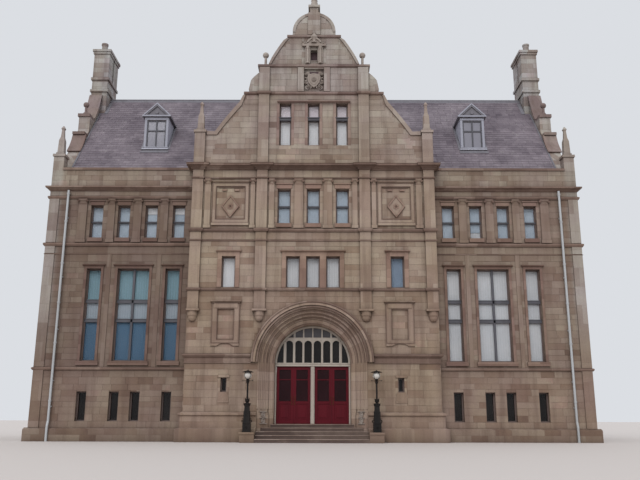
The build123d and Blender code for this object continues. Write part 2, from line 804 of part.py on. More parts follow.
def window_surrounds():
    """Stones round the windows of the street front; the sides and the back are plain."""
    made = []
    for window in wing_windows:
        if window.height == SLIT_HEIGHT:
            continue
        if window.height == TALL_HEIGHT:
            made += pair(window.surround(SURROUND))
        else:
            sill = block(window.u - TOP_WIDTH / 2 - SILL_EAR, window.u + TOP_WIDTH / 2 + SILL_EAR,
                         -SILL_OUT, 0, window.sill - SILL_HEIGHT, window.sill)
            made += pair(sill)
    for window in middle_windows:
        if abs(window.u) == FRONT_SINGLE_U:
            made += solids_of(front_axes * window.surround(FRONT_SURROUND, silled=False))
    reach = FRONT_TRIPLE_PITCH + FRONT_MIDDLE_WIDTH / 2
    top = front_sill + FRONT_MIDDLE_RISE + FRONT_MIDDLE_HEIGHT
    triple = hood_mould(-reach - FRONT_SURROUND - HOOD_EAR, reach + FRONT_SURROUND + HOOD_EAR,
                        top + FRONT_SURROUND)
    triple += block(-reach - FRONT_SURROUND, reach + FRONT_SURROUND, -SURROUND_OUT, 0,
                    front_sill, top + FRONT_SURROUND)
    for i in (-1, 0, 1):
        triple -= block(i * FRONT_TRIPLE_PITCH - FRONT_MIDDLE_WIDTH / 2,
                        i * FRONT_TRIPLE_PITCH + FRONT_MIDDLE_WIDTH / 2,
                        -SURROUND_OUT - THROUGH, THROUGH, front_sill - THROUGH, top)
    made += solids_of(front_axes * triple)
    for window in front_top_windows:
        made += solids_of(front_axes * block(
            window.u - FRONT_TOP_WIDTH / 2 - SILL_EAR, window.u + FRONT_TOP_WIDTH / 2 + SILL_EAR,
            -SILL_OUT, 0, window.sill - SILL_HEIGHT, window.sill))
    reach = FRONT_TOP_PITCH + GABLE_WINDOW_WIDTH / 2 + SURROUND
    head = gable_sill + GABLE_WINDOW_RISE + GABLE_WINDOW_HEIGHT + HOOD_GAP
    made += solids_of(front_axes * hood_mould(-reach, reach, head))
    return made


# Frontispiece


def front_wall_side():
    """The wall to the right of the entrance, up to the spring of the arch."""
    wall = block(ARCH_OUTER, FRONT_HALF, front_face, porch_back, 0, ARCH_SPRING)
    return wall - front_axes * slit_windows[1].hole(PORCH_DEPTH)


def spandrel_wall():
    """The wall over the entrance arch, up to the sill of the middle storey."""
    wall = block(-FRONT_HALF, FRONT_HALF, front_face, porch_back, ARCH_SPRING, front_sill)
    disc = Cylinder(ARCH_OUTER, PORCH_DEPTH + 2 * THROUGH, rotation=(90, 0, 0))
    return wall - Pos(0, (front_face + porch_back) / 2, ARCH_SPRING) * disc


def front_wall_upper():
    """The wall of the two upper storeys of the frontispiece."""
    wall = block(-FRONT_HALF, FRONT_HALF, 0, UPPER_WALL, front_sill, gable_foot)
    return front_axes * pierced(wall, middle_windows + front_top_windows, UPPER_WALL)


def front_plinth():
    """The deep base of the frontispiece, on either side of the entrance."""
    dado_foot = FRONT_DADO_HEIGHT - 200
    section = [
        (0, 0), (FRONT_PLINTH_OUT, 0), (FRONT_PLINTH_OUT, FRONT_PLINTH_HEIGHT - 60),
        (FRONT_DADO_OUT, FRONT_PLINTH_HEIGHT), (FRONT_DADO_OUT, dado_foot),
        (FRONT_DADO_OUT + 70, dado_foot + 50), (FRONT_DADO_OUT + 70, dado_foot + 110),
        (0, FRONT_DADO_HEIGHT),
    ]
    path = [(STEP_HALF, front_face), (FRONT_HALF, front_face), (FRONT_HALF, 0)]
    return pair(moulding(path, section))


def strip_path(end_y):
    """Plan of the frontispiece with its four pilaster strips."""
    out = front_face - STRIP_OUT
    inner = STRIP_INNER_EDGE
    right = [
        (inner, front_face), (inner, out), (inner + STRIP_WIDTH, out),
        (inner + STRIP_WIDTH, front_face), (FRONT_HALF - STRIP_WIDTH, front_face),
        (FRONT_HALF - STRIP_WIDTH, out), (FRONT_HALF, out), (FRONT_HALF, end_y),
    ]
    left = [(-x, y) for x, y in reversed(right)]
    return left + right


def impost_string():
    """The deep string at the spring of the arch, from hood to corner."""
    top = FRONT_IMPOST
    section = [(0, top - 440), (45, top - 440), (45, top - 400), (15, top - 380),
               (15, top - 200), (70, top - 160), (130, top - 90), (130, top - 40), (0, top)]
    path = [(HOOD_RADIUS, front_face), (FRONT_HALF, front_face), (FRONT_HALF, 0)]
    return pair(moulding(path, section))


def front_strings():
    """String courses of the upper storeys, broken forward over the strips."""
    levels = [(front_sill, 140, 80), (front_top_sill, 180, 95)]
    line = string_profile(front_top_sill - FRONT_LINE_DROP, FRONT_LINE, FRONT_LINE_OUT)
    made = [moulding(strip_path(0), string_profile(*level)) for level in levels]
    return made + [moulding(strip_path(-STRING_OUT - SEAT_GAP), line)]


def front_cornice_profile():
    """Bed mould, corona and top of the main cornice."""
    top = front_cornice
    return [(0, top - 330), (70, top - 300), (70, top - 240), (160, top - 170),
            (290, top - 150), (290, top - 70), (310, top - 50), (0, top)]


def front_cornice_course():
    """The main cornice of the frontispiece and the line under its frieze."""
    cornice = moulding(strip_path(-COPING_OUT - SEAT_GAP), front_cornice_profile())
    frieze = moulding(strip_path(0), string_profile(front_cornice - FRONT_FRIEZE_DROP, FRONT_FRIEZE_MOULD, 60))
    return [cornice, frieze]


def corbel():
    """Half of a turned drum that carries a strip, under a square cap."""
    radius, height = CORBEL_RADIUS, CORBEL_HEIGHT
    outline = [(0, -height), (radius * 0.4, -height), (radius * 0.62, -height * 0.92),
               (radius * 0.8, -height * 0.75), (radius * 0.84, -height * 0.55),
               (radius, -height * 0.42), (radius, 0), (0, 0)]
    edge = Polyline(*[(r, 0, z) for r, z in outline], close=True)
    return revolve(make_face(edge), axis=Axis((0, 0, 0), (0, 0, 1)), revolution_arc=-180)


def pilaster_strips():
    """Four flat strips that rise from corbels to the gable."""
    out = front_face - STRIP_OUT
    foot = front_sill - CORBEL_TOP_BELOW_SILL
    inner_top = gable_ledges[1]
    outer_top = shoulder
    reach = front_face - CORBEL_RADIUS - CORBEL_CAP_OUT / 2
    made = []
    for left, top in ((STRIP_INNER_EDGE, inner_top), (FRONT_HALF - STRIP_WIDTH, outer_top)):
        strip = block(left, left + STRIP_WIDTH, out, front_face, foot, top)
        cap_right = min(left + STRIP_WIDTH + CORBEL_CAP_OUT, FRONT_HALF)
        strip += block(left - CORBEL_CAP_OUT, cap_right, reach, front_face, foot - CORBEL_CAP, foot)
        strip += Pos(left + STRIP_WIDTH / 2, front_face, foot - CORBEL_CAP) * corbel()
        made += pair(strip)
    return made


# Entrance


def arch_profile(grow=0):
    """The splay, the quirk and the inner order as (radius, depth) points.

    The points run from the face to the back. A jamb's base is the same profile,
    grown into the opening.
    """
    points = [
        (ARCH_FACE, 0), (ARCH_SPLAY, SPLAY_DEPTH), (ARCH_SPLAY, SPLAY_DEPTH + QUIRK_DEPTH),
        (ARCH_ORDER, SPLAY_DEPTH + QUIRK_DEPTH), (ARCH_ORDER, SPLAY_DEPTH + QUIRK_DEPTH / 3),
        (ARCH_ROLL, ROLL_DEPTH), (DOOR_HALF, SOFFIT_DEPTH),
    ]
    inside = [(max(DOOR_HALF, radius - grow), depth) for radius, depth in points]
    return [(ARCH_OUTER, 0)] + inside + [(DOOR_HALF, PORCH_DEPTH), (ARCH_OUTER, PORCH_DEPTH)]


def arch_ring():
    """The half ring of the entrance arch, its orders turned about the centre."""
    edge = Polyline(*[(r, front_face + d, 0) for r, d in arch_profile()], close=True)
    axis = Axis((0, 0, 0), (0, -1, 0))
    return Pos(0, 0, ARCH_SPRING) * revolve(make_face(edge), axis=axis, revolution_arc=180)


def jamb(grow, height):
    """A length of jamb with the arch's own profile."""
    edge = Polyline(*[(r, front_face + d, 0) for r, d in arch_profile(grow)], close=True)
    return extrude(make_face(edge), amount=height, dir=(0, 0, 1))


def door_jambs():
    """The moulded jambs under the arch, on stepped bases."""
    body = jamb(0, ARCH_SPRING) + jamb(JAMB_BASE_OUT, JAMB_BASE_HEIGHT)
    return pair(body + jamb(JAMB_BASE_OUT / 2, JAMB_BASE_HEIGHT + JAMB_BASE_CAP))


def arch_hood():
    """The hood mould round the face of the arch."""
    inner = HOOD_RADIUS - HOOD_WIDTH
    section = [
        (inner, 0), (inner, -HOOD_OUT * 0.4), (inner + 110, -HOOD_OUT * 0.5),
        (inner + 130, -HOOD_OUT), (HOOD_RADIUS - 60, -HOOD_OUT), (HOOD_RADIUS, -HOOD_OUT * 0.5),
        (HOOD_RADIUS, 0),
    ]
    edge = Polyline(*[(r, front_face + d, 0) for r, d in section], close=True)
    axis = Axis((0, 0, 0), (0, -1, 0))
    return Pos(0, 0, ARCH_SPRING) * revolve(make_face(edge), axis=axis, revolution_arc=180)


frame_back = porch_back - FRAME_BACK
frame_front = frame_back - FRAME_DEPTH
transom_top = ARCH_SPRING
transom_foot = transom_top - TRANSOM_HEIGHT


def door_frame():
    """Side posts, centre post and transom of the doors."""
    frame = block(-DOOR_HALF, DOOR_HALF, frame_front, frame_back, GROUND_FLOOR, transom_top)
    opening_right = DOOR_HALF - FRAME_POST
    for side in (-1, 1):
        x0, x1 = sorted((side * CENTRE_POST / 2, side * opening_right))
        frame -= block(x0, x1, frame_front - THROUGH, frame_back + THROUGH,
                       GROUND_FLOOR - THROUGH, transom_foot)
    return frame


def fanlight():
    """The half-round frame over the transom, with its mullions and rail."""
    depth = FRAME_DEPTH
    middle = (frame_front + frame_back) / 2
    rim = Cylinder(DOOR_HALF - CURVE_GAP, depth, rotation=(90, 0, 0))
    rim -= Cylinder(DOOR_HALF - FRAME_POST, depth + THROUGH, rotation=(90, 0, 0))
    edge = DOOR_HALF - CURVE_GAP
    rim += block(-edge, edge, -depth / 2, depth / 2, 0, FANLIGHT_BAR)
    pitch = 2 * (DOOR_HALF - FRAME_POST) / (FANLIGHT_BARS + 1)
    bars = block(-DOOR_HALF, DOOR_HALF, -depth / 4, depth / 4,
                 FANLIGHT_RAIL_RISE, FANLIGHT_RAIL_RISE + FANLIGHT_BAR)
    for i in range(FANLIGHT_BARS):
        x = (i - (FANLIGHT_BARS - 1) / 2) * pitch
        bars += block(x - FANLIGHT_BAR / 2, x + FANLIGHT_BAR / 2, -depth / 4, depth / 4, 0, DOOR_HALF)
    bars &= Cylinder(DOOR_HALF - FRAME_POST / 2, depth, rotation=(90, 0, 0))
    above = block(-DOOR_HALF, DOOR_HALF, -depth, depth, 0, 2 * DOOR_HALF)
    return Pos(0, middle, transom_top) * ((rim + bars) & above)


def fanlight_glass():
    """The sheet of glass behind the fanlight's frame."""
    disc = Cylinder(DOOR_HALF - CURVE_GAP, PANE, rotation=(90, 0, 0))
    disc &= block(-DOOR_HALF, DOOR_HALF, -PANE, PANE, 0, DOOR_HALF)
    return Pos(0, frame_back + PANE / 2, transom_top) * disc


leaf_back = frame_back
leaf_front = leaf_back - LEAF_THICKNESS
leaf_foot = GROUND_FLOOR + LEAF_GAP
leaf_top = transom_foot - LEAF_GAP
bay = DOOR_HALF - FRAME_POST - CENTRE_POST / 2
leaf_width = (bay - 3 * LEAF_GAP) / 2


def leaf_edges(index):
    """Left and right edge of one of the four leaves, counted from the left."""
    side = -1 if index < 2 else 1
    outer = index in (0, 3)
    near = CENTRE_POST / 2 + LEAF_GAP
    if outer:
        near += leaf_width + LEAF_GAP
    far = near + leaf_width
    return (-far, -near) if side < 0 else (near, far)


def hinge_line(index):
    """Where a leaf's hinge pins stand, and which way the leaf lies from them."""
    x0, x1 = leaf_edges(index)
    hinged_left = index in (0, 2)
    x = x0 - LEAF_GAP / 2 if hinged_left else x1 + LEAF_GAP / 2
    return x, frame_back + HINGE_RADIUS, 1 if hinged_left else -1


hinge_levels = [leaf_foot + share * (leaf_top - leaf_foot) for share in (0.12, 0.5, 0.88)]


def knuckle(x, y, foot, side):
    """Half a hinge: a barrel and the plate that fixes it to one side."""
    barrel = Pos(x, y, foot + HINGE_KNUCKLE / 2) * Cylinder(HINGE_RADIUS, HINGE_KNUCKLE)
    x0, x1 = sorted((x, x + side * HINGE_PLATE))
    return barrel + block(x0, x1, frame_back, frame_back + HINGE_PLATE_THICKNESS,
                          foot, foot + HINGE_KNUCKLE)


def hinges(index, on_leaf):
    """The halves of a leaf's hinges that sit on the leaf, or on its post."""
    x, y, side = hinge_line(index)
    made = None
    for level in hinge_levels:
        foot = level + HINGE_SEAM if on_leaf else level - HINGE_KNUCKLE
        half = knuckle(x, y, foot, side if on_leaf else -side)
        made = half if made is None else made + half
    return made


def door_leaf(index):
    """A leaf: stiles and rails, a glazed light above a fielded panel."""
    x0, x1 = leaf_edges(index)
    leaf = block(x0, x1, leaf_front, leaf_back, leaf_foot, leaf_top)
    light = block(x0 + LEAF_STILE, x1 - LEAF_STILE, leaf_front - THROUGH, leaf_back + THROUGH,
                  leaf_foot + LEAF_GLASS_SILL, leaf_top - LEAF_TOP_RAIL)
    panel = block(x0 + LEAF_STILE, x1 - LEAF_STILE, leaf_front - THROUGH, leaf_front + 16,
                  leaf_foot + LEAF_STILE * 1.6, leaf_foot + LEAF_GLASS_SILL - LEAF_STILE)
    field_panel = block(x0 + LEAF_STILE + 60, x1 - LEAF_STILE - 60, leaf_front + 4, leaf_front + 20,
                        leaf_foot + LEAF_STILE * 1.6 + 60, leaf_foot + LEAF_GLASS_SILL - LEAF_STILE - 60)
    return leaf - light - panel + field_panel + hinges(index, True)


def leaf_glass(index):
    """The pane of a leaf."""
    x0, x1 = leaf_edges(index)
    middle = (leaf_front + leaf_back) / 2
    return block(x0 + LEAF_STILE, x1 - LEAF_STILE, middle - LEAF_GLASS / 2, middle + LEAF_GLASS / 2,
                 leaf_foot + LEAF_GLASS_SILL, leaf_top - LEAF_TOP_RAIL)


# Steps, piers and lamps

step_front = front_face + LANDING_DEPTH - (LOWER_STEPS + 1) * TREAD
pier_front = step_front


def entrance_steps():
    """The flight between the piers and the two steps inside the arch."""
    flight = None
    for i in range(LOWER_STEPS):
        tread = block(-STEP_HALF + SEAT_GAP, STEP_HALF - SEAT_GAP, step_front + i * TREAD,
                      front_face, i * RISER, (i + 1) * RISER)
        flight = tread if flight is None else flight + tread
    inside = [(r, front_face + d) for r, d in arch_profile(JAMB_BASE_OUT)[1:-1]]
    plan = make_face(Polyline(*inside, *[(-x, y) for x, y in reversed(inside)], close=True))
    base = extrude(plan, amount=GROUND_FLOOR)
    for steps, depth in ((LOWER_STEPS + 1, LANDING_DEPTH), (LOWER_STEPS, LANDING_DEPTH - TREAD)):
        base -= block(-ARCH_OUTER, ARCH_OUTER, front_face - THROUGH, front_face + depth,
                      steps * RISER, GROUND_FLOOR + THROUGH)
    for body in door_jambs():
        base -= body
    return flight + base


def step_piers():
    """The low piers at the ends of the steps, with their caps."""
    shaft = block(STEP_HALF, STEP_HALF + PIER_WIDTH, pier_front, front_face - FRONT_PLINTH_OUT,
                  0, PIER_HEIGHT - PIER_CAP)
    cap = block(STEP_HALF, STEP_HALF + PIER_WIDTH + PIER_CAP_OUT, pier_front - PIER_CAP_OUT,
                front_face - FRONT_PLINTH_OUT, PIER_HEIGHT - PIER_CAP, PIER_HEIGHT)
    return pair(shaft + cap)


lamp_y = pier_front + LAMP_SETBACK


def lamp_standard():
    """One cast-iron standard: a square panelled base and a turned stem."""
    at = Pos(LAMP_X, lamp_y, PIER_HEIGHT)
    half = LAMP_BASE / 2
    base = Pos(0, 0, LAMP_PLINTH / 2) * Box(LAMP_BASE, LAMP_BASE, LAMP_PLINTH)
    base += square_taper([(LAMP_PLINTH, LAMP_BASE * 0.84), (LAMP_BASE_HEIGHT, LAMP_BASE * 0.62)])
    for turn in range(4):
        panel = block(-half * 0.6, half * 0.6, -half - THROUGH, -half + 12, 70, LAMP_PLINTH - 70)
        base -= Rot(0, 0, 90 * turn) * panel
    stem_r = LAMP_STEM_RADIUS
    outline = [
        (0, LAMP_BASE_HEIGHT), (135, LAMP_BASE_HEIGHT), (135, LAMP_BASE_HEIGHT + 40),
        (60, LAMP_COLLAR - 60), (LAMP_COLLAR_RADIUS, LAMP_COLLAR - 15),
        (LAMP_COLLAR_RADIUS, LAMP_COLLAR + 15), (stem_r, LAMP_COLLAR + 60),
        (stem_r, LAMP_KNOB - 60), (stem_r + 32, LAMP_KNOB), (stem_r, LAMP_KNOB + 60),
        (GLOBE_SEAT_RADIUS, LAMP_SEAT), (0, LAMP_SEAT),
    ]
    edge = Polyline(*[(r, 0, z) for r, z in outline], close=True)
    return at * (base + revolve(make_face(edge), axis=Axis.Z))


globe_centre = LAMP_SEAT + (GLOBE_RADIUS ** 2 - GLOBE_SEAT_RADIUS ** 2) ** 0.5
canopy_foot = globe_centre + GLOBE_RADIUS * 0.8


def lamp_globe():
    """The glass globe on a standard, flat where it is seated and under its cover."""
    globe = Pos(0, 0, globe_centre) * Sphere(GLOBE_RADIUS)
    limit = block(-CANOPY_RADIUS, CANOPY_RADIUS, -CANOPY_RADIUS, CANOPY_RADIUS, LAMP_SEAT, canopy_foot)
    return Pos(LAMP_X, lamp_y, PIER_HEIGHT) * (globe & limit)


def lamp_canopy():
    """The dished cover over a globe, with a small knob."""
    outline = [(0, 0), (CANOPY_RADIUS - 30, 0), (CANOPY_RADIUS, 12), (CANOPY_RADIUS * 0.55, 55),
               (40, 72), (30, 95), (0, CANOPY_HEIGHT)]
    edge = Polyline(*[(r, 0, z) for r, z in outline], close=True)
    return Pos(LAMP_X, lamp_y, PIER_HEIGHT + canopy_foot) * revolve(make_face(edge), axis=Axis.Z)


# Gable of the frontispiece


def head_points():
    """The semicircular head of the gable."""
    steps = 12
    arc = [(HEAD_RADIUS * cos(pi * i / steps), head_centre + HEAD_RADIUS * sin(pi * i / steps))
           for i in range(steps + 1)]
    return [(HEAD_RADIUS, head_foot)] + arc + [(-HEAD_RADIUS, head_foot)]


def mirrored_outline(half):
    """A closed outline from the points of its right half, foot to top."""
    return half + [(-x, z) for x, z in reversed(half)]


def shoulder_curve():
    """The concave slope from the shoulder to the first ledge."""
    start = (FRONT_HALF - SHOULDER_RUN, shoulder)
    lower = concave(start, (STAGE_HALF + 180, gable_ledges[0] - 560), -60)
    return lower + [(STAGE_HALF, gable_ledges[0])]


def panel_stage_half():
    """The scrolled edge of the stage that holds the carved panel."""
    foot = gable_ledges[0] + GABLE_LEDGE
    top = gable_ledges[1]
    edge = PANEL_STAGE_HALF
    curve = concave((edge - 60, foot + 620), (edge - 520, foot + 1080), -60)
    return [(edge, foot), (edge + 40, foot + 120)] + curve + [(edge - 520, top)]


def niche_stage_half():
    """The concave slope of the stage with the niche."""
    foot = gable_ledges[1] + GABLE_LEDGE
    top = gable_ledges[2]
    return concave((NICHE_STAGE_HALF, foot), (HEAD_RADIUS + 200, top), -90)


def gable_wall():
    """The window stage of the gable, with its shoulders."""
    half = [(FRONT_HALF, gable_foot), (FRONT_HALF, shoulder)] + shoulder_curve()
    wall = plate_xz(mirrored_outline(half), front_face, gable_back)
    for window in gable_windows:
        wall -= front_axes * window.hole(GABLE_WALL)
    return wall


def gable_panel_stage():
    """The stage with the carved panel, sunk between two small piers."""
    foot = gable_ledges[0] + GABLE_LEDGE
    stage = plate_xz(mirrored_outline(panel_stage_half()), front_face, gable_back)
    return stage - block(-PANEL_HALF, PANEL_HALF, front_face - THROUGH, front_face + PANEL_SINK,
                         foot, gable_ledges[1] - PANEL_HEAD)


def carved_panel():
    """A plain strapwork shield in the sunk panel."""
    foot = gable_ledges[0] + GABLE_LEDGE
    middle = foot + CARVING_RISE
    back = front_face + PANEL_SINK
    ring = Pos(0, back, middle) * Cylinder(CARVING_RING, PANEL_SINK, rotation=(90, 0, 0))
    boss = Pos(0, back - 30, middle) * Cylinder(CARVING_BOSS, PANEL_SINK, rotation=(90, 0, 0))
    x, z = CARVING_SCROLL_AT
    scrolls = [Pos(sx * x, back, middle + sz * z) * Cylinder(CARVING_SCROLL, 90, rotation=(90, 0, 0))
               for sx in (-1, 1) for sz in (-1, 1)]
    body = ring + boss
    for scroll in scrolls:
        body += scroll
    body = body & block(-PANEL_HALF, PANEL_HALF, front_face - PANEL_PIER_OUT, back,
                        foot, gable_ledges[1] - PANEL_HEAD)
    pier = block(PANEL_HALF, PANEL_HALF + PANEL_PIER, front_face - PANEL_PIER_OUT, front_face,
                 foot, gable_ledges[1])
    return [body] + pair(pier)


def gable_niche_stage():
    """The top stage of the gable with a small niche cut into it."""
    foot = gable_ledges[1] + GABLE_LEDGE
    stage = plate_xz(mirrored_outline(niche_stage_half()), front_face, gable_back)
    niche = block(-NICHE_HALF, NICHE_HALF, front_face - THROUGH, front_face + NICHE_DEPTH,
                  foot + NICHE_SILL, foot + NICHE_SILL + NICHE_HEIGHT)
    return stage - niche


def niche_surround():
    """Colonnettes and a small pediment round the niche."""
    foot = gable_ledges[1] + GABLE_LEDGE
    out = front_face - NICHE_POST_OUT
    cornice_foot = foot + NICHE_CORNICE_RISE
    cornice_top = cornice_foot + NICHE_CORNICE
    inner, outer = NICHE_POSTS
    reach = NICHE_CORNICE_HALF
    made = block(-outer, -inner, out, front_face, foot, cornice_foot)
    made += block(inner, outer, out, front_face, foot, cornice_foot)
    made += block(-reach, reach, out - 60, front_face, cornice_foot, cornice_top)
    made += plate_xz([(-reach, cornice_top), (reach, cornice_top), (0, gable_ledges[2])],
                     out - 30, front_face)
    return made


def gable_head():
    """The round head of the gable, its raised ring, pilaster and pedestal."""
    head = plate_xz(head_points(), front_face, gable_back)
    ring = Pos(0, front_face, head_centre) * (
        Cylinder(HEAD_RADIUS, 2 * HEAD_RING_OUT, rotation=(90, 0, 0))
        - Cylinder(HEAD_RADIUS - HEAD_RING, 3 * HEAD_RING_OUT, rotation=(90, 0, 0)))
    head += ring & block(-HEAD_RADIUS, HEAD_RADIUS, front_face - THROUGH, front_face,
                         head_centre, head_centre + HEAD_RADIUS)
    crown = head_centre + HEAD_RADIUS
    top = crown + HEAD_PEDESTAL_RISE
    out = front_face - HEAD_PILASTER_OUT
    head += block(-HEAD_PILASTER_HALF, HEAD_PILASTER_HALF, out, front_face, head_foot, crown)
    die = HEAD_DIE_HALF
    head += block(-die, die, out, gable_back, crown - die, top - HEAD_CAP)
    cap = HEAD_CAP_HALF
    return head + block(-cap, cap, out - cap + die, gable_back, top - HEAD_CAP, top)


def gable_ledge_stones():
    """The moulded ledges between the stages of the gable."""
    halves = [STAGE_HALF, PANEL_STAGE_HALF - 480, HEAD_RADIUS + 200]
    made = []
    out = front_face - STRIP_OUT
    inner = STRIP_INNER_EDGE
    breaks = [(inner, front_face), (inner, out), (inner + STRIP_WIDTH, out),
              (inner + STRIP_WIDTH, front_face)]
    for z, half in zip(gable_ledges, halves):
        section = [(0, z), (GABLE_LEDGE_OUT, z + 60), (GABLE_LEDGE_OUT, z + GABLE_LEDGE - 40),
                   (0, z + GABLE_LEDGE)]
        core = block(-half, half, front_face, gable_back, z, z + GABLE_LEDGE)
        right = [(half, front_face), (half, gable_back)]
        if z == gable_ledges[0]:
            right = breaks + right
        path = [(-x, y) for x, y in reversed(right)] + right
        made.append(core + moulding(path, section))
    return made


def gable_copings():
    """Copings on the shoulders and the concave slopes of the gable."""
    made = []
    curve = shoulder_curve()
    end = FRONT_HALF - STRIP_WIDTH - PEDESTAL_CAP_OUT - SEAT_GAP
    level = [(end, shoulder)] + curve
    upper = [(x + 110, min(z + 170, gable_ledges[0])) for x, z in curve]
    upper_level = [(end, shoulder + 200)]
    outline = level + upper[::-1] + upper_level
    made += pair(plate_xz(outline, front_face - 60, gable_back + 60))
    slope = niche_stage_half()
    above = [(x + 90, min(z + 110, gable_ledges[2])) for x, z in slope[1:]]
    above.insert(0, (slope[0][0] + 120, slope[0][1]))
    made += pair(plate_xz(slope + above[::-1], front_face - 60, gable_back + 60))
    return made


# Ornaments on the skyline


def pedestal(x, y, foot, height):
    """A square pedestal with a moulded cap."""
    half = PEDESTAL / 2
    shaft = block(x - half, x + half, y - half, y + half, foot, foot + height - PEDESTAL_CAP)
    wide = half + PEDESTAL_CAP_OUT
    cap = block(x - wide, x + wide, y - wide, y + wide, foot + height - PEDESTAL_CAP, foot + height)
    return shaft + cap


def obelisk(x, y, foot, height):
    """A tapering obelisk on a moulded base, with a pointed knob at its tip."""
    base = OBELISK_BASE
    body = block(-base / 2, base / 2, -base / 2, base / 2, 0, OBELISK_FOOT)
    neck = height - OBELISK_KNOB
    body += square_taper([
        (OBELISK_FOOT, base * 0.8), (height * 0.5, base * 0.68), (height * 0.62, base * 0.42),
        (neck, base * 0.3), (neck + OBELISK_KNOB * 0.35, base * 0.48), (height, base * 0.1),
    ])
    return Pos(x, y, foot) * body


corner_x = HALF_LENGTH - PEDESTAL / 2
corner_y = PEDESTAL / 2


def corner_pedestals():
    """Pedestals at the ends of the street parapets, and the obelisks' feet."""
    return pair(pedestal(corner_x, corner_y, parapet_top, PEDESTAL_HEIGHT))


shoulder_x = FRONT_HALF - STRIP_WIDTH / 2
shoulder_y = front_face - STRIP_OUT + PEDESTAL / 2


def shoulder_pedestals():
    """Caps on the shoulders of the frontispiece."""
    return pair(pedestal(shoulder_x, shoulder_y, shoulder, SHOULDER_PEDESTAL_HEIGHT))


def obelisks():
    """Four obelisks: two on the corners, two on the shoulders."""
    corner = obelisk(corner_x, corner_y, parapet_top + PEDESTAL_HEIGHT, OBELISK_HEIGHT)
    near = obelisk(shoulder_x, shoulder_y, shoulder + SHOULDER_PEDESTAL_HEIGHT, OBELISK_HEIGHT)
    return pair(corner) + pair(near)


def turned_ball(radius, stem):
    """A ball on a short stem and a round foot, turned in one piece."""
    outline = [(0, 0), (radius * 0.8, 0), (radius * 0.8, stem * 0.18), (radius * 0.4, stem * 0.34),
               (radius * 0.4, stem * 0.95)]
    steps = 5
    start = atan2(-1, 0.45)
    for i in range(steps):
        angle = start + (pi / 2 - start) * i / steps
        outline.append((radius * cos(angle), stem + radius * (0.9 + sin(angle))))
    outline.append((0, stem + radius * 1.9))
    edge = Polyline(*[(r, 0, z) for r, z in outline], close=True)
    return revolve(make_face(edge), axis=Axis.Z)


def ball_finials():
    """Balls on stems at the ends of the upper ledge."""
    foot = gable_ledges[1] + GABLE_LEDGE
    y = (front_face + gable_back) / 2
    return pair(Pos(BALL_X, y, foot) * turned_ball(BALL_RADIUS, BALL_STEM))


def apex_finial():
    """The bell-shaped finial at the very top."""
    foot = head_centre + HEAD_RADIUS + HEAD_PEDESTAL_RISE
    outline = [(0, 0), (280, 0), (280, 90), (200, 200), (150, 420), (170, 480), (60, 560),
               (100, 680), (70, 800), (0, FINIAL_HEIGHT)]
    edge = Polyline(*[(r, 0, z) for r, z in outline], close=True)
    y = (front_face + gable_back) / 2
    return Pos(0, y, foot) * revolve(make_face(edge), axis=Axis.Z)


# Roof


def roof_section(low, high):
    """A slope between two heights above the rafters' line, front half."""
    return [(WALL, eaves_z + low), (ridge_y, ridge_z + low),
            (ridge_y, ridge_z + high), (WALL, eaves_z + high)]


cross_slope_top = ridge_z - CROSS_RIDGE_DROP
cross_foot = front_cornice + 20
cross_half = FRONT_HALF - 250


def cross_section(low, high):
    """Half section of the roof behind the gable."""
    return [(0, cross_slope_top + low), (cross_half, cross_foot + low),
            (cross_half, cross_foot + high), (0, cross_slope_top + high)]


def dormer_box(grow):
    """The space of a dormer's body, from its front to the slope behind."""
    half = DORMER_WIDTH / 2 + grow
    return block(DORMER_X - half, DORMER_X + half, DORMER_FRONT - grow, ridge_y,
                 DORMER_SILL - 300, DORMER_SILL + DORMER_HEIGHT)


def chimney_space():
    """The block that a chimney takes out of the roof."""
    half = CHIMNEY_LENGTH / 2
    return block(HALF_LENGTH - CHIMNEY_WIDTH, HALF_LENGTH, ridge_y - half, ridge_y + half,
                 CHIMNEY_BASE, CHIMNEY_BASE + CHIMNEY_HEIGHT)


def under_cross_roof(high):
    """Everything under the cross roof's surface, in front of the ridge."""
    points = [(-cross_half, 0), (-cross_half, cross_foot + high), (0, cross_slope_top + high),
              (cross_half, cross_foot + high), (cross_half, 0)]
    return plate_xz(points, gable_back - THROUGH, ridge_y)


def roof_front():
    """The front slope, with places for the dormers, chimneys and cross roof."""
    slope = plate_yz(roof_section(-roof_lift, 0), -inner_x, inner_x)
    slope -= under_cross_roof(0)
    for space in (dormer_box(0), chimney_space()):
        slope = slope - space - mirrored(space)
    return slope


def roof_back():
    """The back slope, from side gable to side gable."""
    slope = plate_yz(roof_section(-roof_lift, 0), -inner_x, inner_x)
    slope = mirror(slope, about=Plane(origin=(0, ridge_y, 0), z_dir=(0, 1, 0)))
    return slope - chimney_space() - mirrored(chimney_space())


def cross_roof():
    """The two slopes behind the gable, cut where they meet the main roof."""
    slope = plate_xz(cross_section(-ROOF_THICKNESS * 1.5, 0), gable_back, ridge_y)
    main = [(WALL, 0), (WALL, eaves_z), (ridge_y, ridge_z), (ridge_y, 0)]
    slope -= plate_yz(main, -inner_x, inner_x)
    return slope + mirrored(slope)


def ridges():
    """The lead ridge of the main roof, from chimney to chimney."""
    half = RIDGE_WIDTH / 2
    drop = half * roof_slope
    section = [(ridge_y - half, ridge_z - drop), (ridge_y, ridge_z), (ridge_y + half, ridge_z - drop),
               (ridge_y + half, ridge_z - drop + 70), (ridge_y, ridge_z + 90),
               (ridge_y - half, ridge_z - drop + 70)]
    end = HALF_LENGTH - CHIMNEY_WIDTH
    return [plate_yz(section, -end, end)]


